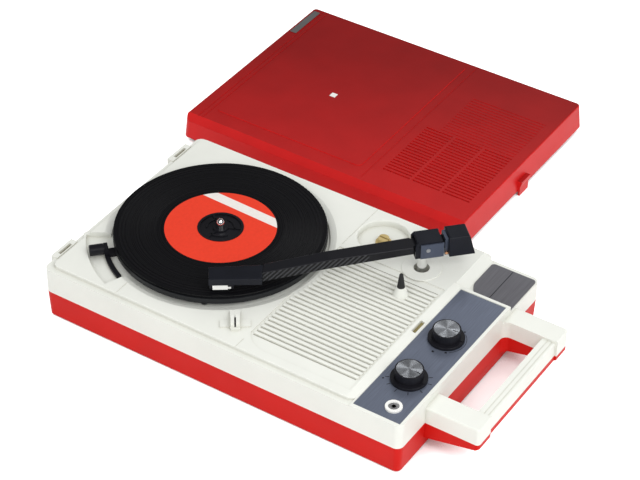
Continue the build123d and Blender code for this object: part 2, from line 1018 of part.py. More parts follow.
with BuildPart() as case_screws:
    with Locations(*[(x, y, base_bottom + screw_head_depth) for x, y in screw_spots]):
        Cylinder(screw_head_radius, screw_head_depth - 0.3, align=hanging)
        Cylinder(
            screw_radius,
            step_under - 3 - base_bottom - screw_head_depth,
            align=standing,
        )
case_screws.part.label = "case_screws"
export_step(case_screws.part, "parts/case_screws.step")

# Control panel plate, nameplate, headphone jack and potentiometers
with BuildPart() as control_plate:
    extrude(
        slab(
            plate_top - control_plate_thickness,
            panel_left + panel_rim / 2,
            case_right - panel_rim,
            case_front + panel_rim + 0.6,
            panel_back - panel_rim,
        ),
        amount=control_plate_thickness,
    )
    with Locations(*[(x, y, plate_top - 1) for x, y in knob_spots.values()]):
        Cylinder(shaft_hole_radius, 3, mode=Mode.SUBTRACT)
    with Locations((jack_spot[0], jack_spot[1], plate_top - 1)):
        Cylinder(jack_sleeve_radius, 3, mode=Mode.SUBTRACT)
control_plate.part.label = "control_plate"
export_step(control_plate.part, "parts/control_plate.step")

with BuildPart() as name_plate:
    extrude(
        slab(
            step_top,
            step_left + step_slope,
            case_right - nameplate_edge,
            panel_back,
            nameplate_rear,
        ),
        amount=nameplate_thickness,
    )
    fillet(name_plate.edges().filter_by(Axis.Z).group_by(Axis.Y)[-1], 3)
    fillet(name_plate.edges().filter_by(Axis.Z).group_by(Axis.Y)[0].sort_by(Axis.X)[0], nameplate_round)
name_plate.part.label = "name_plate"
export_step(name_plate.part, "parts/name_plate.step")

with BuildPart() as jack_sleeve:
    with Locations((jack_spot[0], jack_spot[1], plate_top)):
        Cylinder(jack_flange_radius, jack_flange_height, align=standing)
        Cylinder(
            jack_sleeve_radius,
            jack_length - jack_flange_height,
            align=hanging,
        )
    with Locations((jack_spot[0], jack_spot[1], plate_top + jack_flange_height)):
        Cylinder(
            jack_bore_radius,
            jack_bore_depth,
            align=hanging,
            mode=Mode.SUBTRACT,
        )
jack_sleeve.part.label = "jack_sleeve"
export_step(jack_sleeve.part, "parts/jack_sleeve.step")

with BuildPart() as jack_ring:
    with Locations((jack_spot[0], jack_spot[1], plate_top)):
        Cylinder(jack_nut_radius, jack_nut_height, align=standing)
        Cylinder(
            jack_flange_radius,
            jack_nut_height,
            align=standing,
            mode=Mode.SUBTRACT,
        )
    fillet(jack_ring.edges().filter_by(GeomType.CIRCLE).sort_by(SortBy.RADIUS).group_by(Axis.Z)[-1][-1], 0.5)
jack_ring.part.label = "jack_ring"
export_step(jack_ring.part, "parts/jack_ring.step")

with BuildPart() as potentiometers:
    with Locations(*[(x, y, panel_under) for x, y in knob_spots.values()]):
        Cylinder(pot_radius, pot_height, align=hanging)
        Cylinder(
            knob_shaft_radius + running_gap,
            pot_bore_depth,
            align=hanging,
            mode=Mode.SUBTRACT,
        )
potentiometers.part.label = "potentiometers"
export_step(potentiometers.part, "parts/potentiometers.step")

# Knobs and their spun caps
for name, (knob_x, knob_y) in knob_spots.items():
    knob_base = plate_top + knob_lift
    knob_top = plate_top + knob_height
    with BuildPart() as knob:
        with Locations((knob_x, knob_y, knob_base)):
            Cylinder(knob_skirt_radius, knob_skirt_height, align=standing)
            Cylinder(knob_body_radius, knob_top - knob_base, align=standing)
            Cylinder(
                knob_shaft_radius,
                knob_base - panel_under + pot_bore_depth - 0.5,
                align=hanging,
            )
        with Locations((knob_x, knob_y, knob_top)):
            Cylinder(
                knob_cap_radius,
                knob_cap_recess,
                align=hanging,
                mode=Mode.SUBTRACT,
            )
        rounded = knob.edges().filter_by(GeomType.CIRCLE).filter_by(
            lambda edge: edge.radius > knob_cap_radius + 0.1
            and (edge.center().Z > knob_top - 0.1 or edge.radius > knob_skirt_radius - 0.1)
            and edge.center().Z > knob_base + 0.1
            and edge.length > 2
        )
        fillet(rounded, 0.4)
        with Locations(Location((knob_x, knob_y, knob_base + knob_skirt_height), (0, 0, knob_turns[name]))):
            Box(
                knob_skirt_radius - 0.6,
                1.4,
                0.5,
                align=(Align.MIN, Align.CENTER, Align.MIN),
            )
    knob.part.label = name + "_knob"
    export_step(knob.part, "parts/" + name + "_knob.step")
    with BuildPart() as cap:
        with Locations((knob_x, knob_y, knob_top - knob_cap_recess)):
            Cylinder(knob_cap_radius, knob_cap_recess + 0.2, align=standing)
        fillet(cap.edges().group_by(Axis.Z)[-1], 0.3)
    cap.part.label = name + "_cap"
    export_step(cap.part, "parts/" + name + "_cap.step")

# Loudspeaker behind the grille
speaker_x = spindle_x + (grille_left + grille_right) / 2
speaker_y = spindle_y + speaker_dy
cloth_under = deck_under - cloth_thickness
with BuildPart() as speaker_cloth:
    extrude(
        slab(
            cloth_under,
            spindle_x + well_radius + well_wall + 0.7,
            spindle_x + grille_right + 1,
            spindle_y + grille_front - rib_pitch,
            spindle_y + grille_recess_back - 3,
        ),
        amount=cloth_thickness,
    )
speaker_cloth.part.label = "speaker_cloth"
export_step(speaker_cloth.part, "parts/speaker_cloth.step")

magnet_top = cloth_under - speaker_depth + 2.4
with BuildPart() as speaker_frame:
    with BuildSketch(Plane(origin=(speaker_x, speaker_y, 0), x_dir=(1, 0, 0), z_dir=(0, -1, 0))):
        with BuildLine():
            Polyline(
                (speaker_radius, cloth_under),
                (speaker_radius, cloth_under - 1.6),
                (speaker_radius - 3, cloth_under - 1.6),
                (magnet_radius + 1, magnet_top),
                (8, magnet_top),
                (8, magnet_top + 1.2),
                (magnet_radius, magnet_top + 1.2),
                (speaker_radius - 4.5, cloth_under - 0.8),
                (speaker_radius - 4.5, cloth_under),
                close=True,
            )
        make_face()
    revolve(axis=Axis((speaker_x, speaker_y, 0), (0, 0, 1)))
    with Locations((speaker_x, speaker_y, magnet_top + 5)):
        with PolarLocations(speaker_radius * 0.72, 6):
            Cylinder(4.5, 20, mode=Mode.SUBTRACT)
speaker_frame.part.label = "speaker_frame"
export_step(speaker_frame.part, "parts/speaker_frame.step")

with BuildPart() as speaker_cone:
    with BuildSketch(Plane(origin=(speaker_x, speaker_y, 0), x_dir=(1, 0, 0), z_dir=(0, -1, 0))):
        with BuildLine():
            Polyline(
                (speaker_radius - 4.5, cloth_under - 0.8),
                (speaker_radius - 6.5, cloth_under - 0.4),
                (speaker_radius - 8.5, cloth_under - 1.8),
                (12, cloth_under - cone_depth + 2),
                (0, cloth_under - cone_depth + 4),
                (0, cloth_under - cone_depth + 3.2),
                (12, cloth_under - cone_depth + 1.2),
                (speaker_radius - 8, cloth_under - 2.7),
                (speaker_radius - 6.5, cloth_under - 1.2),
                close=True,
            )
        make_face()
    revolve(axis=Axis((speaker_x, speaker_y, 0), (0, 0, 1)))
speaker_cone.part.label = "speaker_cone"
export_step(speaker_cone.part, "parts/speaker_cone.step")

with BuildPart() as speaker_magnet:
    with Locations((speaker_x, speaker_y, magnet_top)):
        Cylinder(magnet_radius, magnet_height, align=hanging)
        Cylinder(pole_radius, cloth_under - cone_depth + 1.1 - magnet_top, align=standing)
speaker_magnet.part.label = "speaker_magnet"
export_step(speaker_magnet.part, "parts/speaker_magnet.step")

# Amplifier board on posts
board_under = inner_floor + board_post
with BuildPart() as circuit_board:
    with Locations((board_x, board_y, board_under)):
        Box(board_length, board_depth, board_thickness, align=standing)
circuit_board.part.label = "circuit_board"
export_step(circuit_board.part, "parts/circuit_board.step")

with BuildPart() as board_parts:
    with Locations((board_x, board_y, board_under + board_thickness)):
        with Locations((-14, 6, 0)):
            Box(20, 17, 14, align=standing)
        with Locations((10, 10, 0), (10, -6, 0)):
            Cylinder(5, 13, align=standing)
        with Locations((22, 4, 0), (22, -12, 0), (-4, -14, 0)):
            Box(6, 10, 4, align=standing)
board_parts.part.label = "board_parts"
export_step(board_parts.part, "parts/board_parts.step")

# Motor, spindle bearing and belt
motor_top = cup_bottom - grommet_height
pulley_base = well_floor + 1.0
with BuildPart() as motor_can:
    with Locations((motor_x, motor_y, motor_top)):
        Cylinder(motor_radius, motor_height, align=hanging)
        Cylinder(
            motor_shaft_radius + running_gap,
            8,
            align=hanging,
            mode=Mode.SUBTRACT,
        )
    fillet(motor_can.edges().filter_by(GeomType.CIRCLE).group_by(Axis.Z)[0], 2)
motor_can.part.label = "motor_can"
export_step(motor_can.part, "parts/motor_can.step")

with BuildPart() as motor_grommets:
    with Locations(*[(x, y, cup_bottom) for x, y in motor_screw_spots]):
        Cylinder(grommet_radius, grommet_height, align=hanging)
        Cylinder(
            motor_screw_radius,
            grommet_height,
            align=hanging,
            mode=Mode.SUBTRACT,
        )
motor_grommets.part.label = "motor_grommets"
export_step(motor_grommets.part, "parts/motor_grommets.step")

with BuildPart() as motor_screws:
    with Locations(*[(x, y, well_floor) for x, y in motor_screw_spots]):
        Cylinder(2.4, 1.0, align=standing)
        Cylinder(
            motor_screw_radius,
            well_floor - motor_top,
            align=hanging,
        )
motor_screws.part.label = "motor_screws"
export_step(motor_screws.part, "parts/motor_screws.step")

with BuildPart() as motor_pulley:
    with Locations((motor_x, motor_y, pulley_base)):
        Cylinder(pulley_radius, pulley_height, align=standing)
        Cylinder(
            motor_shaft_radius,
            pulley_base - motor_top + 7,
            align=hanging,
        )
motor_pulley.part.label = "motor_pulley"
export_step(motor_pulley.part, "parts/motor_pulley.step")

belt_plane = Plane(
    origin=(spindle_x, spindle_y, pulley_base + 1),
    x_dir=(math.cos(math.radians(motor_bearing)), math.sin(math.radians(motor_bearing)), 0),
    z_dir=(0, 0, 1),
)
with BuildPart() as drive_belt:
    with BuildSketch(belt_plane):
        Circle(skirt_radius + touch_gap + belt_thickness)
        with Locations((motor_distance, 0)):
            Circle(pulley_radius + touch_gap + belt_thickness)
        make_hull()
    extrude(amount=belt_width)
    with BuildSketch(belt_plane):
        Circle(skirt_radius + touch_gap)
        with Locations((motor_distance, 0)):
            Circle(pulley_radius + touch_gap)
        make_hull()
    extrude(amount=belt_width, mode=Mode.SUBTRACT)
drive_belt.part.label = "drive_belt"
export_step(drive_belt.part, "parts/drive_belt.step")

with BuildPart() as spindle_bearing:
    with Locations((spindle_x, spindle_y, well_floor)):
        Cylinder(bearing_radius, bearing_drop, align=hanging)
        Cylinder(
            shaft_radius + running_gap,
            bearing_drop - 2,
            align=hanging,
            mode=Mode.SUBTRACT,
        )
spindle_bearing.part.label = "spindle_bearing"
export_step(spindle_bearing.part, "parts/spindle_bearing.step")

# Turntable: platter, mat, spindle, record with its label and the adapter
with BuildPart() as platter:
    with Locations((spindle_x, spindle_y, platter_top)):
        Cylinder(platter_radius, platter_rim_drop, align=hanging)
    with Locations((spindle_x, spindle_y, platter_top - platter_plate)):
        Cylinder(
            platter_radius - skirt_wall,
            platter_rim_drop,
            align=hanging,
            mode=Mode.SUBTRACT,
        )
        Cylinder(skirt_radius, skirt_drop - platter_plate, align=hanging)
        Cylinder(
            skirt_radius - skirt_wall,
            skirt_drop - platter_plate,
            align=hanging,
            mode=Mode.SUBTRACT,
        )
        Cylinder(8, skirt_drop - platter_plate, align=hanging)
    with Locations((spindle_x, spindle_y, well_floor)):
        Cylinder(
            shaft_radius,
            record_top - well_floor,
            align=standing,
            mode=Mode.SUBTRACT,
        )
platter.part.label = "platter"
export_step(platter.part, "parts/platter.step")

with BuildPart() as platter_mat:
    with Locations((spindle_x, spindle_y, platter_top)):
        Cylinder(mat_radius, mat_thickness, align=standing)
        Cylinder(
            spindle_radius, mat_thickness, align=standing, mode=Mode.SUBTRACT
        )
platter_mat.part.label = "platter_mat"
export_step(platter_mat.part, "parts/platter_mat.step")

with BuildPart() as record:
    with Locations((spindle_x, spindle_y, mat_top)):
        Cylinder(record_radius, record_thickness, align=standing)
    fillet(record.edges().filter_by(GeomType.CIRCLE), 0.5)
    with Locations((spindle_x, spindle_y, record_top)):
        Cylinder(
            label_radius,
            label_thickness,
            align=hanging,
            mode=Mode.SUBTRACT,
        )
        Cylinder(
            adapter_radius,
            record_thickness,
            align=hanging,
            mode=Mode.SUBTRACT,
        )
record.part.label = "record"
export_step(record.part, "parts/record.step")

with BuildPart() as record_label:
    with Locations((spindle_x, spindle_y, record_top)):
        Cylinder(label_radius, label_thickness, align=hanging)
        Cylinder(
            adapter_radius,
            label_thickness,
            align=hanging,
            mode=Mode.SUBTRACT,
        )
record_label.part.label = "record_label"
export_step(record_label.part, "parts/record_label.step")

with BuildPart() as single_adapter:
    with Locations((spindle_x, spindle_y, mat_top)):
        Cylinder(
            adapter_radius, record_thickness + 0.4, align=standing
        )
        Cylinder(
            spindle_radius,
            record_thickness + 0.4,
            align=standing,
            mode=Mode.SUBTRACT,
        )
single_adapter.part.label = "single_adapter"
export_step(single_adapter.part, "parts/single_adapter.step")

with BuildPart() as spindle:
    with BuildSketch(Plane(origin=(spindle_x, spindle_y, 0), x_dir=(1, 0, 0), z_dir=(0, -1, 0))):
        with BuildLine():
            tip = record_top + spindle_tip_height
            Polyline(
                (spindle_radius, record_top + 3),
                (spindle_radius, platter_top),
                (shaft_radius, platter_top),
                (shaft_radius, well_floor - bearing_drop + 2.2),
                (0, well_floor - bearing_drop + 2.2),
                (0, tip),
            )
            ThreePointArc(
                (0, tip), (spindle_radius * 0.72, tip - 2.2), (spindle_radius, record_top + 3)
            )
        make_face()
    revolve(axis=Axis((spindle_x, spindle_y, 0), (0, 0, 1)))
spindle.part.label = "spindle"
export_step(spindle.part, "parts/spindle.step")

# Speed lever: an arm under the platter with a stem held by a slider below
lever_x = math.cos(math.radians(lever_angle))
lever_y = math.sin(math.radians(lever_angle))
lever_base = well_floor + 0.4
lever_plane = Plane(origin=(spindle_x, spindle_y, lever_base), x_dir=(lever_x, lever_y, 0), z_dir=(0, 0, 1))
with BuildPart() as speed_lever:
    with BuildSketch(lever_plane):
        with Locations(((lever_inner + lever_outer) / 2 - 0.4, 0)):
            Rectangle(lever_outer - lever_inner - 0.8, lever_width)
    extrude(amount=lever_height)
    with BuildSketch(lever_plane):
        with Locations((lever_outer - 2.4, 0)):
            Rectangle(3.2, lever_width)
    extrude(amount=lever_knob_rise + 3)
    extrude(
        ring_sector(
            lever_base,
            lever_outer - 0.8 - lever_tail_width,
            lever_outer - 0.8,
            lever_angle,
            lever_tail_end,
        ),
        amount=lever_tail_height,
    )
    with Locations(
        (
            spindle_x + lever_stem_ring * lever_x,
            spindle_y + lever_stem_ring * lever_y,
            lever_base + 0.5,
        )
    ):
        Cylinder(
            lever_stem_radius,
            lever_base + 0.5 - cup_bottom + touch_gap,
            align=hanging,
        )
    with BuildSketch(lever_plane.offset(cup_bottom - touch_gap - lever_base)):
        with Locations((lever_stem_ring, 0)):
            Rectangle(10, 9)
    extrude(amount=-lever_slider_height)
speed_lever.part.label = "speed_lever"
export_step(speed_lever.part, "parts/speed_lever.step")

with BuildPart() as speed_knob:
    knob_centre = Vector(spindle_x, spindle_y, well_floor + lever_knob_rise)
    lever_way = Vector(lever_x, lever_y, 0)
    with BuildSketch(Plane(origin=knob_centre + lever_way * (lever_outer - 0.8), z_dir=lever_way)):
        Circle(lever_knob_radius)
    extrude(amount=lever_knob_length)
    fillet(speed_knob.edges().filter_by(GeomType.CIRCLE), 0.8)
speed_knob.part.label = "speed_knob"
export_step(speed_knob.part, "parts/speed_knob.step")

# Tonearm base: bush, post, fork, side plates and pivot screws
with BuildPart() as arm_bearing:
    with Locations((pivot_x, pivot_y, plateau - arm_bearing_drop)):
        Cylinder(post_hole_radius, arm_bearing_length, align=hanging)
        Cylinder(
            post_radius + running_gap,
            arm_bearing_length,
            align=hanging,
            mode=Mode.SUBTRACT,
        )
arm_bearing.part.label = "arm_bearing"
export_step(arm_bearing.part, "parts/arm_bearing.step")

with BuildPart() as arm_post:
    with Locations((pivot_x, pivot_y, plateau + housing_floor_rise)):
        Cylinder(
            post_radius,
            housing_floor_rise + arm_bearing_drop + arm_bearing_length - 1,
            align=hanging,
        )
arm_post.part.label = "arm_post"
export_step(arm_post.part, "parts/arm_post.step")

fork_length = housing_back - housing_front
fork_middle = (housing_front + housing_back) / 2
with BuildPart() as arm_housing:
    with BuildSketch(arm_plan(plateau + housing_floor_rise)):
        with Locations((fork_middle, 0)):
            Rectangle(fork_length, 2 * housing_half)
    extrude(amount=housing_roof_rise - housing_floor_rise)
    top_front = arm_housing.edges().group_by(Axis.Z)[-1].filter_by(
        lambda edge: abs(
            (edge.center() - Vector(pivot_x, pivot_y, edge.center().Z)).dot(arm_back) - housing_front
        )
        < 0.1
    )
    chamfer(top_front, 2.5)
    with BuildSketch(arm_plan(plateau + housing_floor_rise + housing_skin)):
        with Locations((fork_middle, 0)):
            Rectangle(fork_length + 2, 2 * housing_inner)
    extrude(
        amount=housing_roof_rise - housing_floor_rise - housing_skin - 1,
        mode=Mode.SUBTRACT,
    )
    with BuildSketch(arm_profile(0).offset(0)):
        with Locations((pin_ahead, pin_rise)):
            Circle(pin_radius)
    extrude(amount=housing_half + 1, both=True, mode=Mode.SUBTRACT)
arm_housing.part.label = "arm_housing"
export_step(arm_housing.part, "parts/arm_housing.step")

with BuildPart() as housing_plates:
    for side in (-1, 1):
        with BuildSketch(arm_profile(side * housing_half)):
            with BuildLine():
                Polyline(
                    (plate_front, housing_floor_rise),
                    (housing_back + 1, housing_floor_rise),
                    (housing_back + 1, plate_top_rise),
                    (plate_front, plate_top_rise),
                    close=True,
                )
            make_face()
            with Locations((pin_ahead, pin_rise)):
                Circle(pin_radius, mode=Mode.SUBTRACT)
        extrude(amount=side * plate_thickness)
housing_plates.part.label = "housing_plates"
export_step(housing_plates.part, "parts/housing_plates.step")

with BuildPart() as pivot_screws:
    for side in (-1, 1):
        with BuildSketch(arm_profile(side * (neck_half - 1.5))):
            with Locations((pin_ahead, pin_rise)):
                Circle(pin_radius)
        extrude(amount=side * (housing_half + plate_thickness - neck_half + 1.5))
        with BuildSketch(arm_profile(side * (housing_half + plate_thickness))):
            with Locations((pin_ahead, pin_rise)):
                Circle(pin_radius + 0.3)
        extrude(amount=side * 0.6)
pivot_screws.part.label = "pivot_screws"
export_step(pivot_screws.part, "parts/pivot_screws.step")

# Tonearm: tapering tube, headshell, cartridge, stylus and counterweight
head_angle = math.radians(arm_angle - head_twist)
head_back = Vector(math.cos(head_angle), math.sin(head_angle), 0)
head_origin = Vector(pivot_x, pivot_y, 0) + arm_back * head_tip + arm_side * head_side


def head_plan(rise):
    """A flat plane at the headshell's tip, its x running rearward along the shell."""
    return Plane(origin=head_origin + Vector(0, 0, plateau + rise), x_dir=head_back, z_dir=(0, 0, 1))


def arm_section(along, half, low, high):
    """A rounded cross-section of the arm at a distance along it."""
    origin = Vector(pivot_x, pivot_y, plateau + (low + high) / 2) + arm_back * along
    with BuildSketch(Plane(origin=origin, x_dir=-arm_side, z_dir=arm_back)) as section:
        RectangleRounded(2 * half, high - low, 1.4)
    return section.sketch


with BuildSketch(head_plan(0)) as head_outline:
    with BuildLine():
        Polyline(
            (0, head_half),
            (0, -head_half),
            (head_length, -head_half),
            (head_length + 1.7, head_half + 1.7),
            close=True,
        )
    make_face()

with BuildPart() as arm_tube:
    arm_mid_half = (arm_root_half + arm_end_half) / 2
    loft(
        sections=[
            arm_section(arm_root, arm_root_half, arm_root_low, arm_root_high).face(),
            arm_section(arm_mid, arm_mid_half, arm_mid_low, arm_mid_high).face(),
            arm_section(arm_end, arm_end_half, arm_end_low, arm_end_high).face(),
        ],
        ruled=True,
    )
    with BuildSketch(arm_plan(plateau + neck_low)):
        with Locations(((arm_root + link_front) / 2 - 0.5, 0)):
            Rectangle(link_front - arm_root + 1, 2 * neck_half)
    extrude(amount=neck_high - neck_low)
    extrude(head_outline.sketch, amount=record_top, mode=Mode.SUBTRACT)
    with BuildSketch(arm_profile(0)):
        with Locations((pin_ahead, pin_rise)):
            Circle(pin_radius + running_gap)
    extrude(amount=neck_half + 2, both=True, mode=Mode.SUBTRACT)
arm_tube.part.label = "arm_tube"
export_step(arm_tube.part, "parts/arm_tube.step")

with BuildPart() as headshell:
    extrude(head_outline.sketch.moved(Location((0, 0, head_low))), amount=head_high - head_low)
    fillet(headshell.edges().group_by(Axis.Z)[-1], 0.8)
headshell.part.label = "headshell"
export_step(headshell.part, "parts/headshell.step")

with BuildPart() as cartridge:
    with BuildSketch(head_plan(cartridge_low)):
        with Locations((0.6 + cartridge_length / 2, 0)):
            Rectangle(cartridge_length, 2 * head_half - 3)
    extrude(amount=head_low - cartridge_low)
    chamfer(cartridge.edges().group_by(Axis.Z)[0], 0.6)
cartridge.part.label = "cartridge"
export_step(cartridge.part, "parts/cartridge.step")

with BuildPart() as stylus:
    stylus_spot = head_origin + head_back * stylus_setback
    with Locations((stylus_spot.X, stylus_spot.Y, plateau + cartridge_low)):
        Cone(
            0.15,
            stylus_radius,
            cartridge_low - record_lift - touch_gap,
            align=hanging,
        )
stylus.part.label = "stylus"
export_step(stylus.part, "parts/stylus.step")

with BuildPart() as stylus_tab:
    with BuildSketch(head_plan(cartridge_low + 0.5)):
        with Locations((tab_start + tab_length / 2, -(head_half - 1.5 + tab_depth / 2))):
            Rectangle(tab_length, tab_depth)
    extrude(amount=tab_height)
    with BuildSketch(head_plan(cartridge_low + 1.5)):
        with Locations((tab_start + tab_length + 1, -(head_half - 1.5 + tab_depth / 2))):
            Rectangle(3, tab_depth)
    extrude(amount=1.2)
stylus_tab.part.label = "stylus_tab"
export_step(stylus_tab.part, "parts/stylus_tab.step")

with BuildPart() as weight_link:
    with BuildSketch(arm_plan(plateau + link_low)):
        with Locations(((link_front + link_back) / 2, 0)):
            Rectangle(link_back - link_front, 2 * link_half)
    extrude(amount=link_high - link_low)
weight_link.part.label = "weight_link"
export_step(weight_link.part, "parts/weight_link.step")

with BuildPart() as weight_screw:
    with BuildSketch(arm_profile(link_half)):
        with Locations(((link_front + link_back) / 2, link_low + 2.5)):
            Circle(link_screw_radius)
    extrude(amount=1.2)
weight_screw.part.label = "weight_screw"
export_step(weight_screw.part, "parts/weight_screw.step")

with BuildPart() as counterweight:
    with BuildSketch(arm_plan(plateau + weight_low)):
        with Locations((link_back + weight_length_low / 2, 0)):
            Rectangle(weight_length_low, weight_width_low)
    with BuildSketch(arm_plan(plateau + weight_high)):
        with Locations((link_back + weight_length_high / 2, 0)):
            Rectangle(weight_length_high, weight_width_high)
    loft()
    fillet(counterweight.edges().group_by(Axis.Z)[-1], 1.2)
counterweight.part.label = "counterweight"
export_step(counterweight.part, "parts/counterweight.step")

# Arm rest, its pad, the buffer's rubber tip and the adapter clip
rest_plane = Plane(
    origin=(spindle_x + rest_dx, spindle_y + rest_dy, plateau),
    x_dir=(math.cos(math.radians(rest_angle)), math.sin(math.radians(rest_angle)), 0),
    z_dir=(0, 0, 1),
)
with BuildPart() as arm_rest:
    with BuildSketch(rest_plane):
        RectangleRounded(rest_length, rest_width, 1.5)
    extrude(amount=rest_base_height)
    with BuildSketch(rest_plane):
        with Locations((rest_wing_place, 0)):
            Rectangle(rest_wing_width, rest_wing_length)
    extrude(amount=rest_wing_height)
    with BuildSketch(rest_plane):
        with Locations((rest_length / 2 - rest_post_length, 0)):
            Rectangle(rest_post_length * 1.5, rest_width - 1)
    extrude(amount=rest_post_height)
    with BuildSketch(rest_plane.offset(rest_base_height)):
        with Locations((rest_length / 2 - rest_post_length, 0)):
            Rectangle(rest_post_length * 2, rest_slit)
    extrude(amount=rest_post_height, mode=Mode.SUBTRACT)
arm_rest.part.label = "arm_rest"
export_step(arm_rest.part, "parts/arm_rest.step")

with BuildPart() as arm_rest_pad:
    with BuildSketch(rest_plane.offset(rest_base_height)):
        with Locations((rest_length / 2 - rest_post_length, 0)):
            Rectangle(rest_post_length * 1.5, rest_slit)
    extrude(amount=1.4)
arm_rest_pad.part.label = "arm_rest_pad"
export_step(arm_rest_pad.part, "parts/arm_rest_pad.step")

with BuildPart() as buffer_tip:
    with Locations((buffer_x, buffer_y, plateau + buffer_base_height)):
        Cone(
            buffer_neck_radius - 0.3,
            buffer_tip_radius,
            buffer_tip_height,
            align=standing,
        )
    fillet(buffer_tip.edges().filter_by(GeomType.CIRCLE).group_by(Axis.Z)[-1], 1.2)
buffer_tip.part.label = "buffer_tip"
export_step(buffer_tip.part, "parts/buffer_tip.step")

with BuildPart() as adapter_clip:
    with Locations((dish_x, dish_y, plateau - dish_depth)):
        Cylinder(clip_radius, clip_height, align=standing)
        Cylinder(clip_radius + 2, 1.0, align=standing)
    with Locations((dish_x, dish_y, plateau - dish_depth + 1.5)):
        Box(
            2 * clip_radius + 1,
            clip_slot,
            clip_height,
            align=standing,
            mode=Mode.SUBTRACT,
        )
adapter_clip.part.label = "adapter_clip"
export_step(adapter_clip.part, "parts/adapter_clip.step")

# Battery tray with contacts, and the sliding door in the floor
with BuildPart() as battery_tray:
    extrude(
        slab(
            inner_floor,
            bay_x - bay_length / 2 - 4,
            bay_x + bay_length / 2 + 4,
            bay_y - bay_width / 2 - 4,
            bay_rear + 2,
        ),
        amount=bay_flange,
    )
    extrude(
        slab(
            inner_floor,
            bay_x - bay_length / 2 - bay_wall,
            bay_x + bay_length / 2 + bay_wall,
            bay_y - bay_width / 2 - bay_wall,
            bay_y + bay_width / 2 + bay_wall,
        ),
        amount=bay_height,
    )
    extrude(
        slab(
            inner_floor,
            bay_x - bay_length / 2,
            bay_x + bay_length / 2,
            bay_y - bay_width / 2,
            bay_y + bay_width / 2,
        ),
        amount=bay_height - bay_wall,
        mode=Mode.SUBTRACT,
    )
battery_tray.part.label = "battery_tray"
export_step(battery_tray.part, "parts/battery_tray.step")

with BuildPart() as battery_contacts:
    for side in (-1, 1):
        for place in (-1, 1):
            with Locations(
                (
                    bay_x + side * (bay_length - contact_thickness) / 2,
                    bay_y + place * bay_width / 4,
                    inner_floor + bay_height / 2,
                )
            ):
                Box(contact_thickness, contact_width, contact_height)
battery_contacts.part.label = "battery_contacts"
export_step(battery_contacts.part, "parts/battery_contacts.step")

with BuildPart() as battery_door:
    for low, inset, thick in (
        (base_bottom, 1 + door_gap, door_lip + door_gap),
        (base_bottom + door_lip + door_gap, door_gap, door_thickness - door_lip - door_gap),
    ):
        extrude(
            slab(
                low,
                bay_x - bay_length / 2 + inset,
                bay_x + bay_length / 2 - inset,
                bay_y - bay_width / 2 + door_gap,
                bay_y + bay_width / 2,
            ),
            amount=thick,
        )
    for groove in range(5):
        extrude(
            slab(
                base_bottom,
                bay_x - 12,
                bay_x + 12,
                bay_y + bay_width / 2 - 20 + 3 * groove,
                bay_y + bay_width / 2 - 18.5 + 3 * groove,
            ),
            amount=0.6,
            mode=Mode.SUBTRACT,
        )
battery_door.part.label = "battery_door"
export_step(battery_door.part, "parts/battery_door.step")

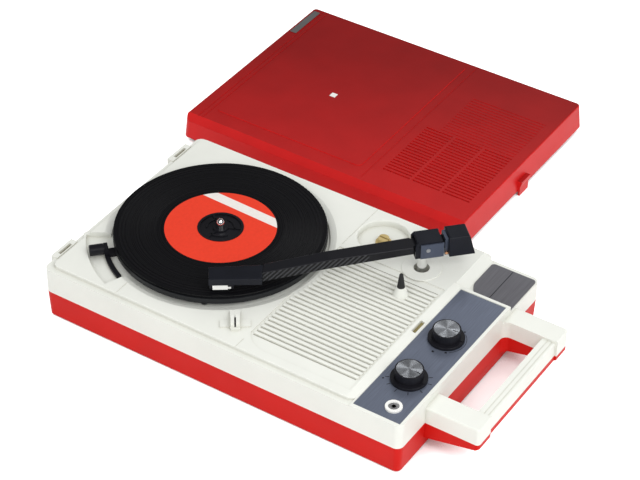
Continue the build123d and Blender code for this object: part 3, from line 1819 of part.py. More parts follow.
# Lid: a shallow red cover standing on its catch and two hooks
lid_rim = lid_lift
lid_top = lid_rim + lid_height
lid_field = lid_top - lid_panel_rise
lid_left = lid_x - lid_length / 2
lid_right = lid_x + lid_length / 2
lid_front = lid_y - lid_depth / 2
with BuildPart() as lid:
    extrude(
        outline(lid_rim, lid_length, lid_depth, corner_radius, lid_x, lid_y),
        amount=lid_height - lid_panel_rise,
        taper=lid_draft,
    )
    fillet(lid.faces().sort_by(Axis.Z)[-1].edges(), 1.6)
    with BuildSketch(Plane(origin=(lid_left, 0, 0), x_dir=(0, 1, 0), z_dir=(1, 0, 0))):
        with BuildLine():
            Polyline(
                (lid_front - 1, lid_top - lid_brow_height),
                (lid_front + lid_brow_inset, lid_top - lid_brow_height),
                (lid_front + lid_brow_inset + lid_brow_depth, lid_top),
                (lid_front - 1, lid_top),
                close=True,
            )
        make_face()
    extrude(amount=lid_length, mode=Mode.SUBTRACT)
    with BuildSketch(level(lid_field - 0.3, lid_x, lid_y)):
        with Locations(((lid_panel_left + lid_panel_right) / 2, (lid_panel_front + lid_panel_back) / 2)):
            RectangleRounded(lid_panel_right - lid_panel_left, lid_panel_back - lid_panel_front, 5)
    extrude(amount=lid_panel_rise + 0.3, taper=20)
    extrude(
        outline(
            lid_rim,
            lid_length - 2 * lid_wall,
            lid_depth - 2 * lid_wall,
            corner_radius - lid_wall,
            lid_x,
            lid_y,
        ),
        amount=lid_height - lid_panel_rise - lid_wall - lid_brow_height,
        taper=lid_draft,
        mode=Mode.SUBTRACT,
    )
    extrude(
        outline(
            lid_rim,
            lid_length - 4 * lid_wall - 2,
            lid_depth - 4 * lid_wall - 2 * lid_brow_depth,
            corner_radius - lid_wall,
            lid_x,
            lid_y,
        ),
        amount=lid_height - lid_panel_rise - lid_wall,
        mode=Mode.SUBTRACT,
    )
    with BuildSketch(level(lid_field - 5, lid_x, lid_y)):
        for row in range(lid_slot_rows):
            slot_left = lid_slot_start + row * (lid_row_length + lid_row_gap)
            for slot in range(lid_slot_count):
                with Locations((slot_left + lid_row_length / 2, lid_slot_front + slot * lid_slot_pitch)):
                    Rectangle(lid_row_length, lid_slot_width)
    extrude(amount=10, mode=Mode.SUBTRACT)
    with BuildSketch(level(lid_field - lid_line_depth, lid_x, lid_y)):
        line_left = lid_slot_start + lid_row_length * 0.45
        line_right = lid_slot_start + 3 * lid_row_length + 2 * lid_row_gap
        for line in range(lid_line_count):
            with Locations(((line_left + line_right) / 2, lid_line_front + line * lid_slot_pitch)):
                Rectangle(line_right - line_left, lid_line_width)
        with Locations((lid_step_x, (lid_depth / 2 - lid_step_front) / 2 - 1)):
            Rectangle(lid_step_width, lid_depth / 2 + lid_step_front - 4)
        for x in lid_strip_lines:
            with Locations((x, 0)):
                Rectangle(lid_line_width, lid_depth - 4 * lid_wall)
    extrude(amount=2, mode=Mode.SUBTRACT)
    for ear_y in ear_spots:
        extrude(
            slab(
                0,
                lid_left + 0.1,
                lid_left + 0.1 + hook_thickness,
                ear_y - case_y + lid_y - hook_length / 2,
                ear_y - case_y + lid_y + hook_length / 2,
            ),
            amount=lid_lift + 4,
        )
lid.part.label = "lid"
export_step(lid.part, "parts/lid.step")

with BuildPart() as lid_catch:
    catch_y = lid_y - 4.2
    with BuildSketch(Plane(origin=(0, catch_y, 0), x_dir=(1, 0, 0), z_dir=(0, -1, 0))):
        with BuildLine():
            Polyline(
                (lid_right, 0),
                (lid_right + catch_thickness, 0),
                (lid_right + catch_thickness, lid_rim + 4),
                (lid_right + catch_depth, lid_rim + 8),
                (lid_right + catch_depth, catch_height),
                (lid_right - 1, catch_height),
                (lid_right, lid_rim),
                close=True,
            )
        make_face()
    extrude(amount=catch_width / 2, both=True)
    add(lid.part, mode=Mode.SUBTRACT)
lid_catch.part.label = "lid_catch"
export_step(lid_catch.part, "parts/lid_catch.step")

with BuildPart() as lid_badge:
    with BuildSketch(level(lid_field, lid_x, lid_y)):
        with Locations((badge_x, badge_y)):
            Rectangle(badge_width, badge_length)
    extrude(amount=badge_thickness)
lid_badge.part.label = "lid_badge"
export_step(lid_badge.part, "parts/lid_badge.step")

with BuildPart() as lid_emblem:
    with BuildSketch(level(lid_top, lid_x, lid_y)):
        with Locations((emblem_x, emblem_y)):
            Rectangle(emblem_size, emblem_size)
    extrude(amount=badge_thickness / 2)
lid_emblem.part.label = "lid_emblem"
export_step(lid_emblem.part, "parts/lid_emblem.step")
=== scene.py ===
import json
import math
import bmesh
import bpy
from mathutils import Matrix, Vector


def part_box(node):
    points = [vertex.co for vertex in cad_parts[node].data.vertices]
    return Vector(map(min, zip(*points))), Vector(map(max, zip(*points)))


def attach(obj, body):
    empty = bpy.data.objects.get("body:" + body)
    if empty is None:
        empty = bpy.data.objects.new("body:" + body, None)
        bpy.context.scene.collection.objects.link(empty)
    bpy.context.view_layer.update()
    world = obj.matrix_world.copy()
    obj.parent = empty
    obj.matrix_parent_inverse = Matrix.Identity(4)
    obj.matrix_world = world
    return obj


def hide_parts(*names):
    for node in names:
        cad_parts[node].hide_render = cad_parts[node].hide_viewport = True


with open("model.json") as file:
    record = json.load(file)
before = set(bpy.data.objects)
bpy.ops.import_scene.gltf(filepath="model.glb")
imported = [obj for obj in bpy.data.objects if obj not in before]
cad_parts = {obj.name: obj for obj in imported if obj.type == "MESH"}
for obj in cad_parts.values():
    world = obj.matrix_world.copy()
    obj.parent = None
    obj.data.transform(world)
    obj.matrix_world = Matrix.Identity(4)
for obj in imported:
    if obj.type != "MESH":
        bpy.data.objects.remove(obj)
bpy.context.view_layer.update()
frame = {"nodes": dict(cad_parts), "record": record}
nodes = frame["nodes"]
print("frame loaded:", len(nodes), "nodes")

# Places in metres, in the frame's own axes
spindleX = -0.07085
spindleY = -0.12505
caseLeft = -0.16685
caseRight = 0.17015
caseFront = -0.23655
caseBack = -0.02155
panelLeft = caseRight - 0.0453


def newMaterial(name):
    material = bpy.data.materials.new(name)
    material.use_nodes = True
    tree = material.node_tree
    return material, tree, tree.nodes["Principled BSDF"]


def node(tree, kind, **values):
    made = tree.nodes.new(kind)
    for key, value in values.items():
        setattr(made, key, value)
    return made


# A socket takes another node's output, a number or a colour
def feed(tree, value, socket):
    if isinstance(value, bpy.types.NodeSocket):
        tree.links.new(value, socket)
    else:
        socket.default_value = value


# Object coordinates, turned and scaled: they equal the frame's metres
def objectPoint(tree, scale=(1, 1, 1), location=(0, 0, 0)):
    coordinates = node(tree, "ShaderNodeTexCoord")
    mapping = node(tree, "ShaderNodeMapping")
    mapping.inputs["Location"].default_value = location
    mapping.inputs["Scale"].default_value = scale
    feed(tree, coordinates.outputs["Object"], mapping.inputs["Vector"])
    return mapping.outputs["Vector"]


def splitPoint(tree, vector):
    parts = node(tree, "ShaderNodeSeparateXYZ")
    feed(tree, vector, parts.inputs["Vector"])
    return parts.outputs["X"], parts.outputs["Y"], parts.outputs["Z"]


# How far a surface faces up: 1 on top, 0 on an upright side
def facingUp(tree):
    geometry = node(tree, "ShaderNodeNewGeometry")
    return splitPoint(tree, geometry.outputs["Normal"])[2]


def noise(tree, vector, scale, detail):
    made = node(tree, "ShaderNodeTexNoise")
    made.inputs["Scale"].default_value = scale
    made.inputs["Detail"].default_value = detail
    feed(tree, vector, made.inputs["Vector"])
    return made.outputs["Fac"]


def ramp(tree, source, stops):
    made = node(tree, "ShaderNodeValToRGB")
    elements = made.color_ramp.elements
    while len(elements) < len(stops):
        elements.new(0.5)
    for element, (place, colour) in zip(elements, stops):
        element.position = place
        element.color = (*colour, 1)
    feed(tree, source, made.inputs["Fac"])
    return made.outputs["Color"]


def spread(colour, amount):
    return tuple(max(0, part * (1 + amount)) for part in colour)


def mixColour(tree, blend, amount, first, second):
    made = node(tree, "ShaderNodeMix", data_type="RGBA", blend_type=blend)
    feed(tree, amount, made.inputs["Factor"])
    feed(tree, first, made.inputs["A"])
    feed(tree, second, made.inputs["B"])
    return made.outputs["Result"]


def bump(tree, shader, source, strength, distance):
    made = node(tree, "ShaderNodeBump")
    made.inputs["Strength"].default_value = strength
    made.inputs["Distance"].default_value = distance
    feed(tree, source, made.inputs["Height"])
    feed(tree, made.outputs["Normal"], shader.inputs["Normal"])


def mapRange(tree, source, fromLow, fromHigh, toLow, toHigh):
    made = node(tree, "ShaderNodeMapRange")
    made.inputs["From Min"].default_value = fromLow
    made.inputs["From Max"].default_value = fromHigh
    made.inputs["To Min"].default_value = toLow
    made.inputs["To Max"].default_value = toHigh
    feed(tree, source, made.inputs["Value"])
    return made.outputs["Result"]


def roughBand(tree, shader, source, rough):
    feed(tree, mapRange(tree, source, 0.0, 1.0, *rough), shader.inputs["Roughness"])


def mathNode(tree, operation, first, second=None):
    made = node(tree, "ShaderNodeMath", operation=operation)
    feed(tree, first, made.inputs[0])
    if second is not None:
        feed(tree, second, made.inputs[1])
    return made.outputs["Value"]


# Corners and creases of moulded pieces darkened towards brown, by ambient occlusion
cornerDarkening = {"reach": 0.004, "samples": 6, "colour": (0.30, 0.26, 0.17, 1)}


# A moulded, painted or metal surface: faint mottling, uneven gloss and a fine grain, with corners darkened
# towards brown by ambient occlusion and painted shade on upward faces where asked
def plain(
    name, colour, rough, grain=900, mottle=0.05, metal=0, depth=0.00002, cornerDarkeningShare=0.0, gloss=0.3, paintedTopShade=None
):
    material, tree, shader = newMaterial(name)
    vector = objectPoint(tree)
    broad = noise(tree, vector, 35, 3)
    tone = ramp(tree, broad, [(0.3, spread(colour, -mottle)), (0.7, spread(colour, mottle))])
    # Corners and creases darkened towards brown by ambient occlusion
    if cornerDarkeningShare > 0:
        occlusion = node(tree, "ShaderNodeAmbientOcclusion", samples=cornerDarkening["samples"])
        occlusion.inputs["Distance"].default_value = cornerDarkening["reach"]
        covered = mathNode(tree, "SUBTRACT", 1.0, occlusion.outputs["AO"])
        amount = mathNode(tree, "MULTIPLY", covered, cornerDarkeningShare)
        tone = mixColour(tree, "MIX", amount, tone, cornerDarkening["colour"])
    # Painted shade on upward faces, darker from front to back along a slanted line
    if paintedTopShade:
        x, y = splitPoint(tree, vector)[:2]
        slant = mathNode(tree, "SUBTRACT", y, mathNode(tree, "MULTIPLY", x, paintedTopShade["slant"]))
        shade = mapRange(
            tree, slant, paintedTopShade["front"], paintedTopShade["back"], paintedTopShade["frontShade"], paintedTopShade["backShade"]
        )
        facing = mapRange(tree, facingUp(tree), 0.55, 0.9, 0.0, 1.0)
        tone = mixColour(tree, "MULTIPLY", facing, tone, shade)
    feed(tree, tone, shader.inputs["Base Color"])
    fine = noise(tree, vector, grain, 2)
    roughBand(tree, shader, noise(tree, vector, 60, 3), rough)
    bump(tree, shader, fine, 0.3, depth)
    shader.inputs["Metallic"].default_value = metal
    shader.inputs["Specular IOR Level"].default_value = gloss
    return material


# The finishes of the record's material slots
finishes = {
    "cream_shell": {
        "name": "creamShell",
        "colour": (0.765, 0.775, 0.72),
        "rough": (0.32, 0.48),
        "grain": 1400,
        "mottle": 0.018,
        "depth": 0.000012,
        # Corners and creases darkened towards brown by ambient occlusion
        "cornerDarkeningShare": 0.35,
    },
    "red_shell": {
        "name": "redShell",
        "colour": (0.57, 0.009, 0.006),
        "rough": (0.38, 0.52),
        "grain": 1400,
        "mottle": 0.04,
        "depth": 0.000018,
        "gloss": 0.10,
    },
    # Painted shade: the lid's top is duller towards its back left corner, on upward faces only
    "lid_red": {
        "name": "lidRed",
        "colour": (0.60, 0.012, 0.012),
        "rough": (0.34, 0.46),
        "grain": 1400,
        "depth": 0.000015,
        "gloss": 0.18,
        "paintedTopShade": {"front": 0.0, "back": 0.24, "slant": 0.35, "frontShade": 0.82, "backShade": 0.42},
    },
    "black_plastic": {
        "name": "blackPlastic",
        "colour": (0.009, 0.009, 0.012),
        "rough": (0.28, 0.42),
        "grain": 1200,
        "mottle": 0.2,
        "gloss": 0.22,
    },
    "arm_black": {
        "name": "armPlain",
        "colour": (0.008, 0.009, 0.014),
        "rough": (0.3, 0.45),
        "grain": 1000,
        "mottle": 0.2,
        "gloss": 0.2,
    },
    "dark_rubber": {
        "name": "darkRubber",
        "colour": (0.022, 0.022, 0.023),
        "rough": (0.6, 0.8),
        "mottle": 0.2,
        "depth": 0.00005,
    },
    "white_plastic": {
        "name": "whitePlastic",
        "colour": (0.82, 0.82, 0.79),
        "rough": (0.3, 0.4),
        "grain": 1200,
        "mottle": 0.02,
        "depth": 0.00001,
    },
    "platter_metal": {
        "name": "platterMetal",
        "colour": (0.014, 0.015, 0.017),
        "rough": (0.3, 0.42),
        "grain": 1200,
        "mottle": 0.1,
        "depth": 0.00001,
    },
    "bright_chrome": {
        "name": "brightChrome",
        "colour": (0.78, 0.78, 0.78),
        "rough": (0.08, 0.16),
        "mottle": 0.03,
        "metal": 1,
        "depth": 0.000004,
    },
    "steel": {
        "name": "bareSteel",
        "colour": (0.48, 0.48, 0.49),
        "rough": (0.3, 0.45),
        "mottle": 0.08,
        "metal": 1,
        "depth": 0.00001,
    },
    "brass": {
        "name": "brassMetal",
        "colour": (0.65, 0.45, 0.18),
        "rough": (0.25, 0.4),
        "mottle": 0.08,
        "metal": 1,
        "depth": 0.00001,
    },
    "copper": {
        "name": "copperMetal",
        "colour": (0.85, 0.42, 0.22),
        "rough": (0.2, 0.3),
        "metal": 1,
        "depth": 0.000005,
    },
    "board_green": {
        "name": "boardGreen",
        "colour": (0.06, 0.16, 0.06),
        "rough": (0.4, 0.6),
        "mottle": 0.15,
    },
    "paper_cone": {
        "name": "paperCone",
        "colour": (0.06, 0.06, 0.06),
        "rough": (0.7, 0.9),
        "grain": 700,
        "mottle": 0.2,
        "depth": 0.0001,
    },
    "silver_foil": {
        "name": "silverFoil",
        "colour": (0.70, 0.70, 0.70),
        "rough": (0.25, 0.35),
        "mottle": 0.06,
        "metal": 1,
        "depth": 0.00001,
    },
    "amber_plastic": {
        "name": "amberPlastic",
        "colour": (0.50, 0.38, 0.16),
        "rough": (0.3, 0.5),
        "grain": 700,
        "mottle": 0.25,
        "depth": 0.00005,
    },
    "blue_steel": {
        "name": "blueSteel",
        "colour": (0.085, 0.10, 0.14),
        "rough": (0.35, 0.5),
        "mottle": 0.12,
        "metal": 0.6,
    },
}
lookOf = {slotName: plain(**finish) for slotName, finish in finishes.items()}
lookOf["spun_aluminium"] = lookOf["bright_chrome"]
printInk = plain("printInk", (0.012, 0.012, 0.016), (0.4, 0.5), mottle=0.1, depth=0.000005)
slotGold = plain("slotGold", (0.24, 0.20, 0.08), (0.4, 0.6), mottle=0.2)

# Spun metal: fine circles round an upright line, with bright and dark wedges of painted reflection
spunCap = {
    "colour": (0.42, 0.44, 0.47),
    "rough": (0.2, 0.3),
    "ringPitch": 0.0004,
    "depth": 0.00003,
    "sheenWedges": 4.0,
    "sheenStart": 0.9,
    "sheenContrast": 0.35,
}


def spunLook(name, centre):
    material, tree, shader = newMaterial(name)
    vector = objectPoint(tree, location=(-centre[0], -centre[1], 0))
    x, y = splitPoint(tree, vector)[:2]
    squares = mathNode(tree, "ADD", mathNode(tree, "MULTIPLY", x, x), mathNode(tree, "MULTIPLY", y, y))
    radius = mathNode(tree, "SQRT", squares)
    rings = mathNode(tree, "SINE", mathNode(tree, "MULTIPLY", radius, 2 * math.pi / spunCap["ringPitch"]))
    # Painted reflection: the colour turns lighter and darker in wedges round the centre
    turn = mathNode(tree, "MULTIPLY", mathNode(tree, "ARCTAN2", y, x), spunCap["sheenWedges"])
    sheenWave = mathNode(tree, "SINE", mathNode(tree, "ADD", turn, spunCap["sheenStart"]))
    contrast = spunCap["sheenContrast"]
    tone = ramp(
        tree,
        mathNode(tree, "ADD", mathNode(tree, "MULTIPLY", sheenWave, 0.5), 0.5),
        [(0.35, spread(spunCap["colour"], -contrast)), (0.95, spread(spunCap["colour"], contrast))],
    )
    feed(tree, tone, shader.inputs["Base Color"])
    roughBand(tree, shader, noise(tree, vector, 300, 2), spunCap["rough"])
    bump(tree, shader, rings, 0.25, spunCap["depth"])
    shader.inputs["Metallic"].default_value = 1.0
    return material


# Grey sheet with fine straight brushing from front to back
sheets = {
    "panel_grey": {"name": "panelGrey", "colour": (0.175, 0.20, 0.265), "rough": (0.36, 0.46)},
    "name_grey": {"name": "nameGrey", "colour": (0.17, 0.168, 0.185), "rough": (0.38, 0.5)},
}
brushing = {"across": 2500, "along": 40, "contrast": 0.16, "depth": 0.00002, "metal": 0.55}


def brushedLook(name, colour, rough):
    material, tree, shader = newMaterial(name)
    vector = objectPoint(tree, scale=(brushing["across"], brushing["along"], brushing["along"]))
    streaks = noise(tree, vector, 1, 3)
    broad = noise(tree, objectPoint(tree), 25, 2)
    contrast = brushing["contrast"]
    tone = ramp(tree, streaks, [(0.3, spread(colour, -contrast)), (0.7, spread(colour, contrast))])
    feed(tree, tone, shader.inputs["Base Color"])
    roughBand(tree, shader, broad, rough)
    bump(tree, shader, streaks, 0.25, brushing["depth"])
    shader.inputs["Metallic"].default_value = brushing["metal"]
    return material


for slotName, sheet in sheets.items():
    lookOf[slotName] = brushedLook(**sheet)

speakerCloth = {
    "threads": 1600,
    "dark": (0.62, 0.58, 0.46),
    "light": (0.78, 0.74, 0.62),
    "depth": 0.0001,
    "rough": 0.9,
}


def clothLook():
    material, tree, shader = newMaterial("speakerCloth")
    weave = node(tree, "ShaderNodeTexChecker")
    weave.inputs["Scale"].default_value = 1.0
    threads = speakerCloth["threads"]
    feed(tree, objectPoint(tree, scale=(threads, threads, 1)), weave.inputs["Vector"])
    tone = ramp(tree, weave.outputs["Fac"], [(0.0, speakerCloth["dark"]), (1.0, speakerCloth["light"])])
    feed(tree, tone, shader.inputs["Base Color"])
    bump(tree, shader, weave.outputs["Fac"], 0.5, speakerCloth["depth"])
    shader.inputs["Roughness"].default_value = speakerCloth["rough"]
    return material


# Black record: fine grooves in bands, with smooth gaps between the tracks
vinyl = {
    "groovePitch": 0.00045,
    "grooves": (0.050, 0.053, 0.0835, 0.0845),
    "bandsPerMetre": 700.0,
    "dark": (0.003, 0.003, 0.004),
    "light": (0.008, 0.008, 0.009),
    "rough": (0.2, 0.36),
    "gloss": 0.14,
    "depth": 0.00006,
}


def vinylLook():
    material, tree, shader = newMaterial("vinyl")
    x, y = splitPoint(tree, objectPoint(tree, location=(-spindleX, -spindleY, 0)))[:2]
    flat = node(tree, "ShaderNodeCombineXYZ")
    feed(tree, x, flat.inputs["X"])
    feed(tree, y, flat.inputs["Y"])
    length = node(tree, "ShaderNodeVectorMath", operation="LENGTH")
    feed(tree, flat.outputs["Vector"], length.inputs[0])
    radius = length.outputs["Value"]
    fine = mathNode(tree, "SINE", mathNode(tree, "MULTIPLY", radius, 2 * math.pi / vinyl["groovePitch"]))
    ringPoint = node(tree, "ShaderNodeCombineXYZ")
    feed(tree, mathNode(tree, "MULTIPLY", radius, vinyl["bandsPerMetre"]), ringPoint.inputs["X"])
    bands = noise(tree, ringPoint.outputs["Vector"], 1.0, 3)
    shades = (0, 1, 1, 0)
    stops = [(place * 10, (shade, shade, shade)) for place, shade in zip(vinyl["grooves"], shades)]
    inGrooves = ramp(tree, mathNode(tree, "MULTIPLY", radius, 10.0), stops)
    height = mathNode(tree, "MULTIPLY", fine, inGrooves)
    height = mathNode(tree, "ADD", height, mathNode(tree, "MULTIPLY", bands, 2.0))
    bump(tree, shader, height, 0.35, vinyl["depth"])
    feed(tree, ramp(tree, bands, [(0.35, vinyl["dark"]), (0.7, vinyl["light"])]), shader.inputs["Base Color"])
    roughBand(tree, shader, bands, vinyl["rough"])
    shader.inputs["Specular IOR Level"].default_value = vinyl["gloss"]
    return material


# Orange-red paper with one pale band, given as shares of the way across the label
label = {
    "turn": -2.0,
    "halfWidth": 0.05,
    "bandFrom": 0.7609,
    "bandTo": 0.8519,
    "edge": 0.0001,
    "orange": (0.78, 0.046, 0.018),
    "pale": (0.80, 0.76, 0.72),
    "rough": 0.6,
    "gloss": 0.15,
}


def labelLook():
    material, tree, shader = newMaterial("labelPaper")
    vector = objectPoint(tree, location=(-spindleX, -spindleY, 0))
    x, y = splitPoint(tree, vector)[:2]
    turn = math.radians(label["turn"])
    sideways = mathNode(tree, "MULTIPLY", x, -math.sin(turn))
    forward = mathNode(tree, "MULTIPLY", y, math.cos(turn))
    distance = mathNode(tree, "ADD", sideways, forward)
    across = mapRange(tree, distance, -label["halfWidth"], label["halfWidth"], 0.0, 1.0)
    tone = ramp(
        tree,
        across,
        [
            (0.0, label["orange"]),
            (label["bandFrom"], label["orange"]),
            (label["bandFrom"] + label["edge"], label["pale"]),
            (label["bandTo"], label["pale"]),
            (label["bandTo"] + label["edge"], label["orange"]),
        ],
    )
    paper = noise(tree, vector, 400, 4)
    fibres = ramp(tree, paper, [(0.3, (0.93, 0.93, 0.93)), (0.7, (1, 1, 1))])
    feed(tree, mixColour(tree, "MULTIPLY", 1.0, tone, fibres), shader.inputs["Base Color"])
    bump(tree, shader, paper, 0.3, 0.00003)
    shader.inputs["Roughness"].default_value = label["rough"]
    shader.inputs["Specular IOR Level"].default_value = label["gloss"]
    return material


# Black plastic with fine slanting ribs moulded along the tonearm's flanks; the rib crests are painted lighter
# and the hollows darker, a painted highlight and shade
armRibs = {
    "turn": 46,
    "pitch": 0.0046,
    "lean": 1.1,
    "start": -0.035,
    "dark": (0.004, 0.004, 0.005),
    "middle": (0.009, 0.009, 0.012),
    "light": (0.045, 0.046, 0.052),
    "rough": (0.3, 0.45),
    "gloss": 0.25,
    "depth": 0.0003,
}


def armLook():
    material, tree, shader = newMaterial("armBlack")
    vector = objectPoint(tree)
    x, y, z = splitPoint(tree, vector)
    turn = math.radians(armRibs["turn"])
    along = mathNode(
        tree,
        "ADD",
        mathNode(tree, "MULTIPLY", x, math.cos(turn)),
        mathNode(tree, "MULTIPLY", y, math.sin(turn)),
    )
    slanted = mathNode(tree, "SUBTRACT", along, mathNode(tree, "MULTIPLY", z, armRibs["lean"]))
    ribs = mathNode(tree, "SINE", mathNode(tree, "MULTIPLY", slanted, 2 * math.pi / armRibs["pitch"]))
    steep = mathNode(tree, "LESS_THAN", mathNode(tree, "ABSOLUTE", facingUp(tree)), 0.5)
    ribs = mathNode(tree, "MULTIPLY", ribs, steep)
    ribs = mathNode(tree, "MULTIPLY", ribs, mathNode(tree, "LESS_THAN", along, armRibs["start"]))
    # Painted highlight and shade: lighter on the rib crests, darker in the hollows
    tone = ramp(
        tree,
        mathNode(tree, "ADD", mathNode(tree, "MULTIPLY", ribs, 0.5), 0.5),
        [(0.25, armRibs["dark"]), (0.5, armRibs["middle"]), (0.85, armRibs["light"])],
    )
    feed(tree, tone, shader.inputs["Base Color"])
    roughBand(tree, shader, noise(tree, vector, 200, 3), armRibs["rough"])
    bump(tree, shader, ribs, 0.6, armRibs["depth"])
    shader.inputs["Specular IOR Level"].default_value = armRibs["gloss"]
    return material


lookOf["cloth"] = clothLook()
lookOf["vinyl"] = vinylLook()
lookOf["label_paper"] = labelLook()
armRibbed = armLook()
print("materials ready:", len(lookOf))

slotOfNode = {part["node"]: part["material_slot"] for part in frame["record"]["subparts"]}
for name, thing in nodes.items():
    look = lookOf[slotOfNode[name]]
    if name == "arm_tube":
        look = armRibbed
    if name in ("volume_cap", "tone_cap"):
        low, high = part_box(name)
        look = spunLook(name + "Look", ((low[0] + high[0]) / 2, (low[1] + high[1]) / 2))
    thing.data.materials.clear()
    thing.data.materials.append(look)
print("solids dressed")


def addMesh(name, mesh, body, slotName, look=None, replaced=()):
    thing = bpy.data.objects.new(name, mesh)
    bpy.context.scene.collection.objects.link(thing)
    mesh.materials.clear()
    mesh.materials.append(look or lookOf[slotName])
    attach(thing, body)
    if replaced:
        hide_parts(*replaced)


# A flat-sided block over an outline in metres, anticlockwise
def prism(bm, corners, low, high):
    under = [bm.verts.new((x, y, low)) for x, y in corners]
    over = [bm.verts.new((x, y, high)) for x, y in corners]
    bm.faces.new(list(reversed(under)))
    bm.faces.new(over)
    count = len(corners)
    for i in range(count):
        j = (i + 1) % count
        bm.faces.new((under[i], under[j], over[j], over[i]))


def finishMesh(bm, name):
    bmesh.ops.recalc_face_normals(bm, faces=bm.faces)
    mesh = bpy.data.meshes.new(name)
    bm.to_mesh(mesh)
    bm.free()
    return mesh


def rectangle(left, right, front, back):
    return [(left, front), (right, front), (right, back), (left, back)]


def around(x, y, radius, degrees):
    turn = math.radians(degrees)
    return (x + radius * math.cos(turn), y + radius * math.sin(turn))


# The four corners of a thin bar lying on a ray from a centre
def bar(x, y, angle, inner, outer, width):
    turn = math.radians(angle)
    ray = Vector((math.cos(turn), math.sin(turn)))
    side = Vector((-ray.y, ray.x)) * width / 2
    centre = Vector((x, y))
    return [
        tuple(centre + ray * inner - side),
        tuple(centre + ray * outer - side),
        tuple(centre + ray * outer + side),
        tuple(centre + ray * inner + side),
    ]


def disc(x, y, radius, count=20):
    return [around(x, y, radius, 360 * i / count) for i in range(count)]


def arcStrip(x, y, radius, width, start, end, count=18):
    sweep = end - start
    outer = [around(x, y, radius + width / 2, start + sweep * i / count) for i in range(count + 1)]
    inner = [around(x, y, radius - width / 2, end - sweep * i / count) for i in range(count + 1)]
    return outer + inner


# A ring, or a piece of one, with square edges
def ringBlock(bm, x, y, inner, outer, bottom, top, count=72, start=0, sweep=360):
    closed = sweep >= 360
    steps = count if closed else count + 1
    rows = []
    for i in range(steps):
        angle = start + sweep * i / count
        px, py = around(x, y, inner, angle)
        qx, qy = around(x, y, outer, angle)
        spots = ((px, py, bottom), (qx, qy, bottom), (qx, qy, top), (px, py, top))
        rows.append([bm.verts.new(spot) for spot in spots])
    for i in range(count):
        a = rows[i]
        b = rows[(i + 1) % steps]
        for k in range(4):
            m = (k + 1) % 4
            bm.faces.new((a[k], b[k], b[m], a[m]))
    if not closed:
        bm.faces.new(list(reversed(rows[0])))
        bm.faces.new(rows[-1])


# Printed ticks, dots, bars and an arc round the two knobs: angles in degrees
panelMarks = {
    "ink": 0.00006,
    "volumeSpot": (spindleX + 0.2176, spindleY - 0.0611),
    "toneSpot": (spindleX + 0.2176, spindleY - 0.0058),
    "volumeTicks": (-155.7, -127.5, -96.1, -61.4, -25.1, 12.2, 38.5),
    "tick": (0.0150, 0.0182, 0.0006),
    "volumeDot": (0.0197, -150),
    "toneDot": (0.0169, 61.7),
    "dotRadius": 0.0008,
    "toneBars": ((-93.8, 0.0174, 0.0192), (-60.8, 0.0154, 0.0170)),
    "barWidth": 0.0018,
    "toneArc": (0.0160, 0.0004, -52, 52),
}
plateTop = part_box("control_plate")[1][2]
inkTop = plateTop + panelMarks["ink"]
volumeSpot = panelMarks["volumeSpot"]
toneSpot = panelMarks["toneSpot"]
marks = bmesh.new()
for angle in panelMarks["volumeTicks"]:
    prism(marks, bar(*volumeSpot, angle, *panelMarks["tick"]), plateTop, inkTop)
for spot, dot in ((volumeSpot, panelMarks["volumeDot"]), (toneSpot, panelMarks["toneDot"])):
    prism(marks, disc(*around(*spot, *dot), panelMarks["dotRadius"]), plateTop, inkTop)
for angle, inner, outer in panelMarks["toneBars"]:
    prism(marks, bar(*toneSpot, angle, inner, outer, panelMarks["barWidth"]), plateTop, inkTop)
prism(marks, arcStrip(*toneSpot, *panelMarks["toneArc"]), plateTop, inkTop)
addMesh("panel_marks", finishMesh(marks, "panelMarks"), "cabinet", "black_plastic", printInk)

# Pointer lines cut in the spun caps
pointer = {
    "inner": 0.0052,
    "outer": 0.0098,
    "width": 0.0009,
    "sunk": 0.0002,
    "proud": 0.00002,
    "angles": {"volume": -3.8, "tone": 6.7},
}
for name, spot in (("volume", volumeSpot), ("tone", toneSpot)):
    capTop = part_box(name + "_cap")[1][2]
    line = bmesh.new()
    corners = bar(*spot, pointer["angles"][name], pointer["inner"], pointer["outer"], pointer["width"])
    prism(line, corners, capTop - pointer["sunk"], capTop + pointer["proud"])
    mesh = finishMesh(line, name + "Pointer")
    addMesh(name + "_pointer", mesh, name + "_control", "black_plastic", printInk)

# Yellowed plastic seen at the bottom of the latch slot and of the two hook slots
slotInserts = {
    "length": 0.0148,
    "thickness": 0.0008,
    "latchSides": (panelLeft - 0.0043, panelLeft - 0.0011),
    "latchY": spindleY - 0.0072,
    "latchTop": 0.0482,
    "hookSides": (caseLeft - 0.0013, caseLeft + 0.0013),
    "hookOffset": 0.079,
    "hookTop": 0.0466,
}
caseMiddle = (caseFront + caseBack) / 2
inserts = bmesh.new()
for sides, y, top in (
    (slotInserts["latchSides"], slotInserts["latchY"], slotInserts["latchTop"]),
    (slotInserts["hookSides"], caseMiddle - slotInserts["hookOffset"], slotInserts["hookTop"]),
    (slotInserts["hookSides"], caseMiddle + slotInserts["hookOffset"], slotInserts["hookTop"]),
):
    half = slotInserts["length"] / 2
    prism(inserts, rectangle(*sides, y - half, y + half), top - slotInserts["thickness"], top)
addMesh("slot_inserts", finishMesh(inserts, "slotInserts"), "cabinet", "amber_plastic", slotGold)

# One thin dividing line printed on the nameplate
nameLine = {"left": 0.0215, "right": 0.0209, "front": 0.0008, "back": 0.0010, "ink": 0.00006}
low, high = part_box("name_plate")
line = bmesh.new()
corners = rectangle(
    high[0] - nameLine["left"],
    high[0] - nameLine["right"],
    low[1] + nameLine["front"],
    high[1] - nameLine["back"],
)
prism(line, corners, high[2], high[2] + nameLine["ink"])
addMesh("name_line", finishMesh(line, "nameLine"), "cabinet", "black_plastic", printInk)
print("printed marks ready")

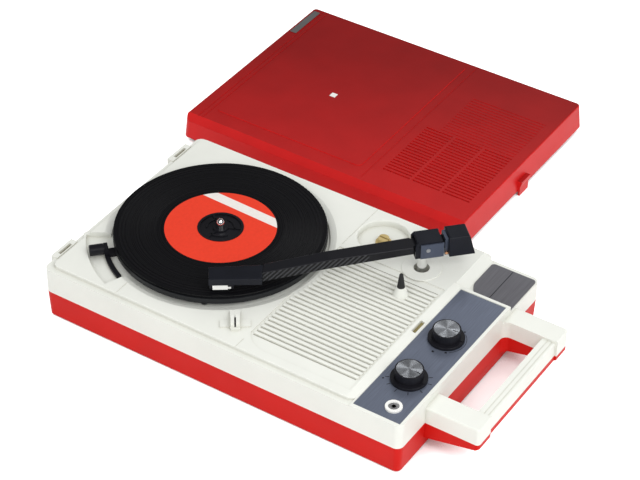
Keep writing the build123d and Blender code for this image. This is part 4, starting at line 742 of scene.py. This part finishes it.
# The record's centre piece: a sunk disc with a rim, a hub, three arcs and three spokes
adapter = {
    "sunk": 0.0012,
    "hole": 0.0036,
    "rimInner": 0.0170,
    "hubOuter": 0.0062,
    "webSunk": 0.0003,
    "webs": 3,
    "arc": (0.0108, 0.0122),
    "arcCount": 20,
    "arcStart": 20,
    "arcSweep": 74,
    "spokeAngle": 26,
    "spoke": (0.0060, 0.0172, 0.0014),
}
low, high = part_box("single_adapter")
moulding = bmesh.new()
base = high[2] - adapter["sunk"]
webTop = high[2] - adapter["webSunk"]
rimOuter = (high[0] - low[0]) / 2
ringBlock(moulding, spindleX, spindleY, adapter["hole"], rimOuter, low[2], base)
ringBlock(moulding, spindleX, spindleY, adapter["rimInner"], rimOuter, base, high[2])
ringBlock(moulding, spindleX, spindleY, adapter["hole"], adapter["hubOuter"], base, high[2])
for i in range(adapter["webs"]):
    turn = 360 * i / adapter["webs"]
    ringBlock(
        moulding,
        spindleX,
        spindleY,
        *adapter["arc"],
        base,
        webTop,
        adapter["arcCount"],
        adapter["arcStart"] + turn,
        adapter["arcSweep"],
    )
    prism(moulding, bar(spindleX, spindleY, adapter["spokeAngle"] + turn, *adapter["spoke"]), base, webTop)
mesh = finishMesh(moulding, "adapterMoulded")
addMesh("single_adapter_moulded", mesh, "turntable", "black_plastic", None, ("single_adapter",))
print("adapter ready")

# The floor glows white where it is seen, but not under the object: the glow fades by ambient occlusion, a
# painted shadow round the object
studio = {
    "floorSize": 6,
    "floorColour": (0.86, 0.86, 0.86, 1),
    "floorRough": 0.9,
    "floorGlow": 0.75,
    "coverReach": 0.08,
    "coverSamples": 8,
    "coverFrom": 0.25,
    "coverTo": 0.5,
    "worldGlow": 0.74,
    "worldGloss": 0.12,
}
floorMesh = bmesh.new()
bmesh.ops.create_grid(floorMesh, x_segments=1, y_segments=1, size=studio["floorSize"])
floorData = finishMesh(floorMesh, "floor")
floor = bpy.data.objects.new("floor", floorData)
bpy.context.scene.collection.objects.link(floor)
floorLook, floorTree, floorShader = newMaterial("floorLook")
floorShader.inputs["Base Color"].default_value = studio["floorColour"]
floorShader.inputs["Roughness"].default_value = studio["floorRough"]
floorShader.inputs["Emission Color"].default_value = (1, 1, 1, 1)
path = node(floorTree, "ShaderNodeLightPath")
seen = mathNode(floorTree, "MAXIMUM", path.outputs["Is Camera Ray"], path.outputs["Is Glossy Ray"])
seen = mathNode(floorTree, "MAXIMUM", seen, path.outputs["Is Transmission Ray"])
cover = node(floorTree, "ShaderNodeAmbientOcclusion", samples=studio["coverSamples"])
cover.inputs["Distance"].default_value = studio["coverReach"]
glow = node(floorTree, "ShaderNodeMix", data_type="FLOAT")
feed(floorTree, seen, glow.inputs["Factor"])
glow.inputs["A"].default_value = 0.0
# Painted shadow: the glow fades where ambient occlusion is strong
openGlow = mapRange(
    floorTree, cover.outputs["AO"], studio["coverFrom"], studio["coverTo"], 0.0, studio["floorGlow"]
)
feed(floorTree, openGlow, glow.inputs["B"])
feed(floorTree, glow.outputs["Result"], floorShader.inputs["Emission Strength"])
floorData.materials.append(floorLook)

# The room is pale, and darker where glossy surfaces mirror it
scene = bpy.context.scene
world = bpy.data.worlds.new("studio")
scene.world = world
world.use_nodes = True
worldTree = world.node_tree
backdrop = worldTree.nodes["Background"]
backdrop.inputs["Color"].default_value = (1.0, 1.0, 1.0, 1)
worldPath = node(worldTree, "ShaderNodeLightPath")
worldGlow = node(worldTree, "ShaderNodeMix", data_type="FLOAT")
feed(worldTree, worldPath.outputs["Is Glossy Ray"], worldGlow.inputs["Factor"])
worldGlow.inputs["A"].default_value = studio["worldGlow"]
worldGlow.inputs["B"].default_value = studio["worldGloss"]
feed(worldTree, worldGlow.outputs["Result"], backdrop.inputs["Strength"])

lamps = {
    "keyLight": {"place": (0.3, -1.4, 1.1), "target": (0, 0, 0), "size": 1.0, "power": 6.5},
    "fillLight": {"place": (1.0, -0.4, 1.0), "target": (0.1, -0.1, 0), "size": 0.8, "power": 8},
    "backLight": {"place": (-0.3, 1.5, 1.6), "target": (0, 0, 0), "size": 0.8, "power": 3},
}
for name, settings in lamps.items():
    data = bpy.data.lights.new(name, "AREA")
    data.shape = "SQUARE"
    data.size = settings["size"]
    data.energy = settings["power"]
    lamp = bpy.data.objects.new(name, data)
    lamp.location = settings["place"]
    aim = Vector(settings["target"]) - Vector(settings["place"])
    lamp.rotation_euler = aim.to_track_quat("-Z", "Y").to_euler()
    scene.collection.objects.link(lamp)
print("lights ready")

# The camera's own axes and place, which give the photograph's framing
view = {
    "lens": 122.85,
    "sensor": 36,
    "right": (0.836462, 0.547964, 0.008113),
    "up": (-0.347707, 0.519213, 0.780716),
    "back": (0.423592, -0.655861, 0.624833),
    "place": (0.75464, -1.25369, 1.16393),
}
cameraData = bpy.data.cameras.new("camera")
cameraData.lens = view["lens"]
cameraData.sensor_width = view["sensor"]
camera = bpy.data.objects.new("camera", cameraData)
cameraTurn = Matrix((view["right"], view["up"], view["back"])).transposed().to_4x4()
camera.matrix_world = Matrix.Translation(view["place"]) @ cameraTurn
scene.collection.objects.link(camera)
scene.camera = camera
scene.view_settings.view_transform = "Standard"
print("stage ready")
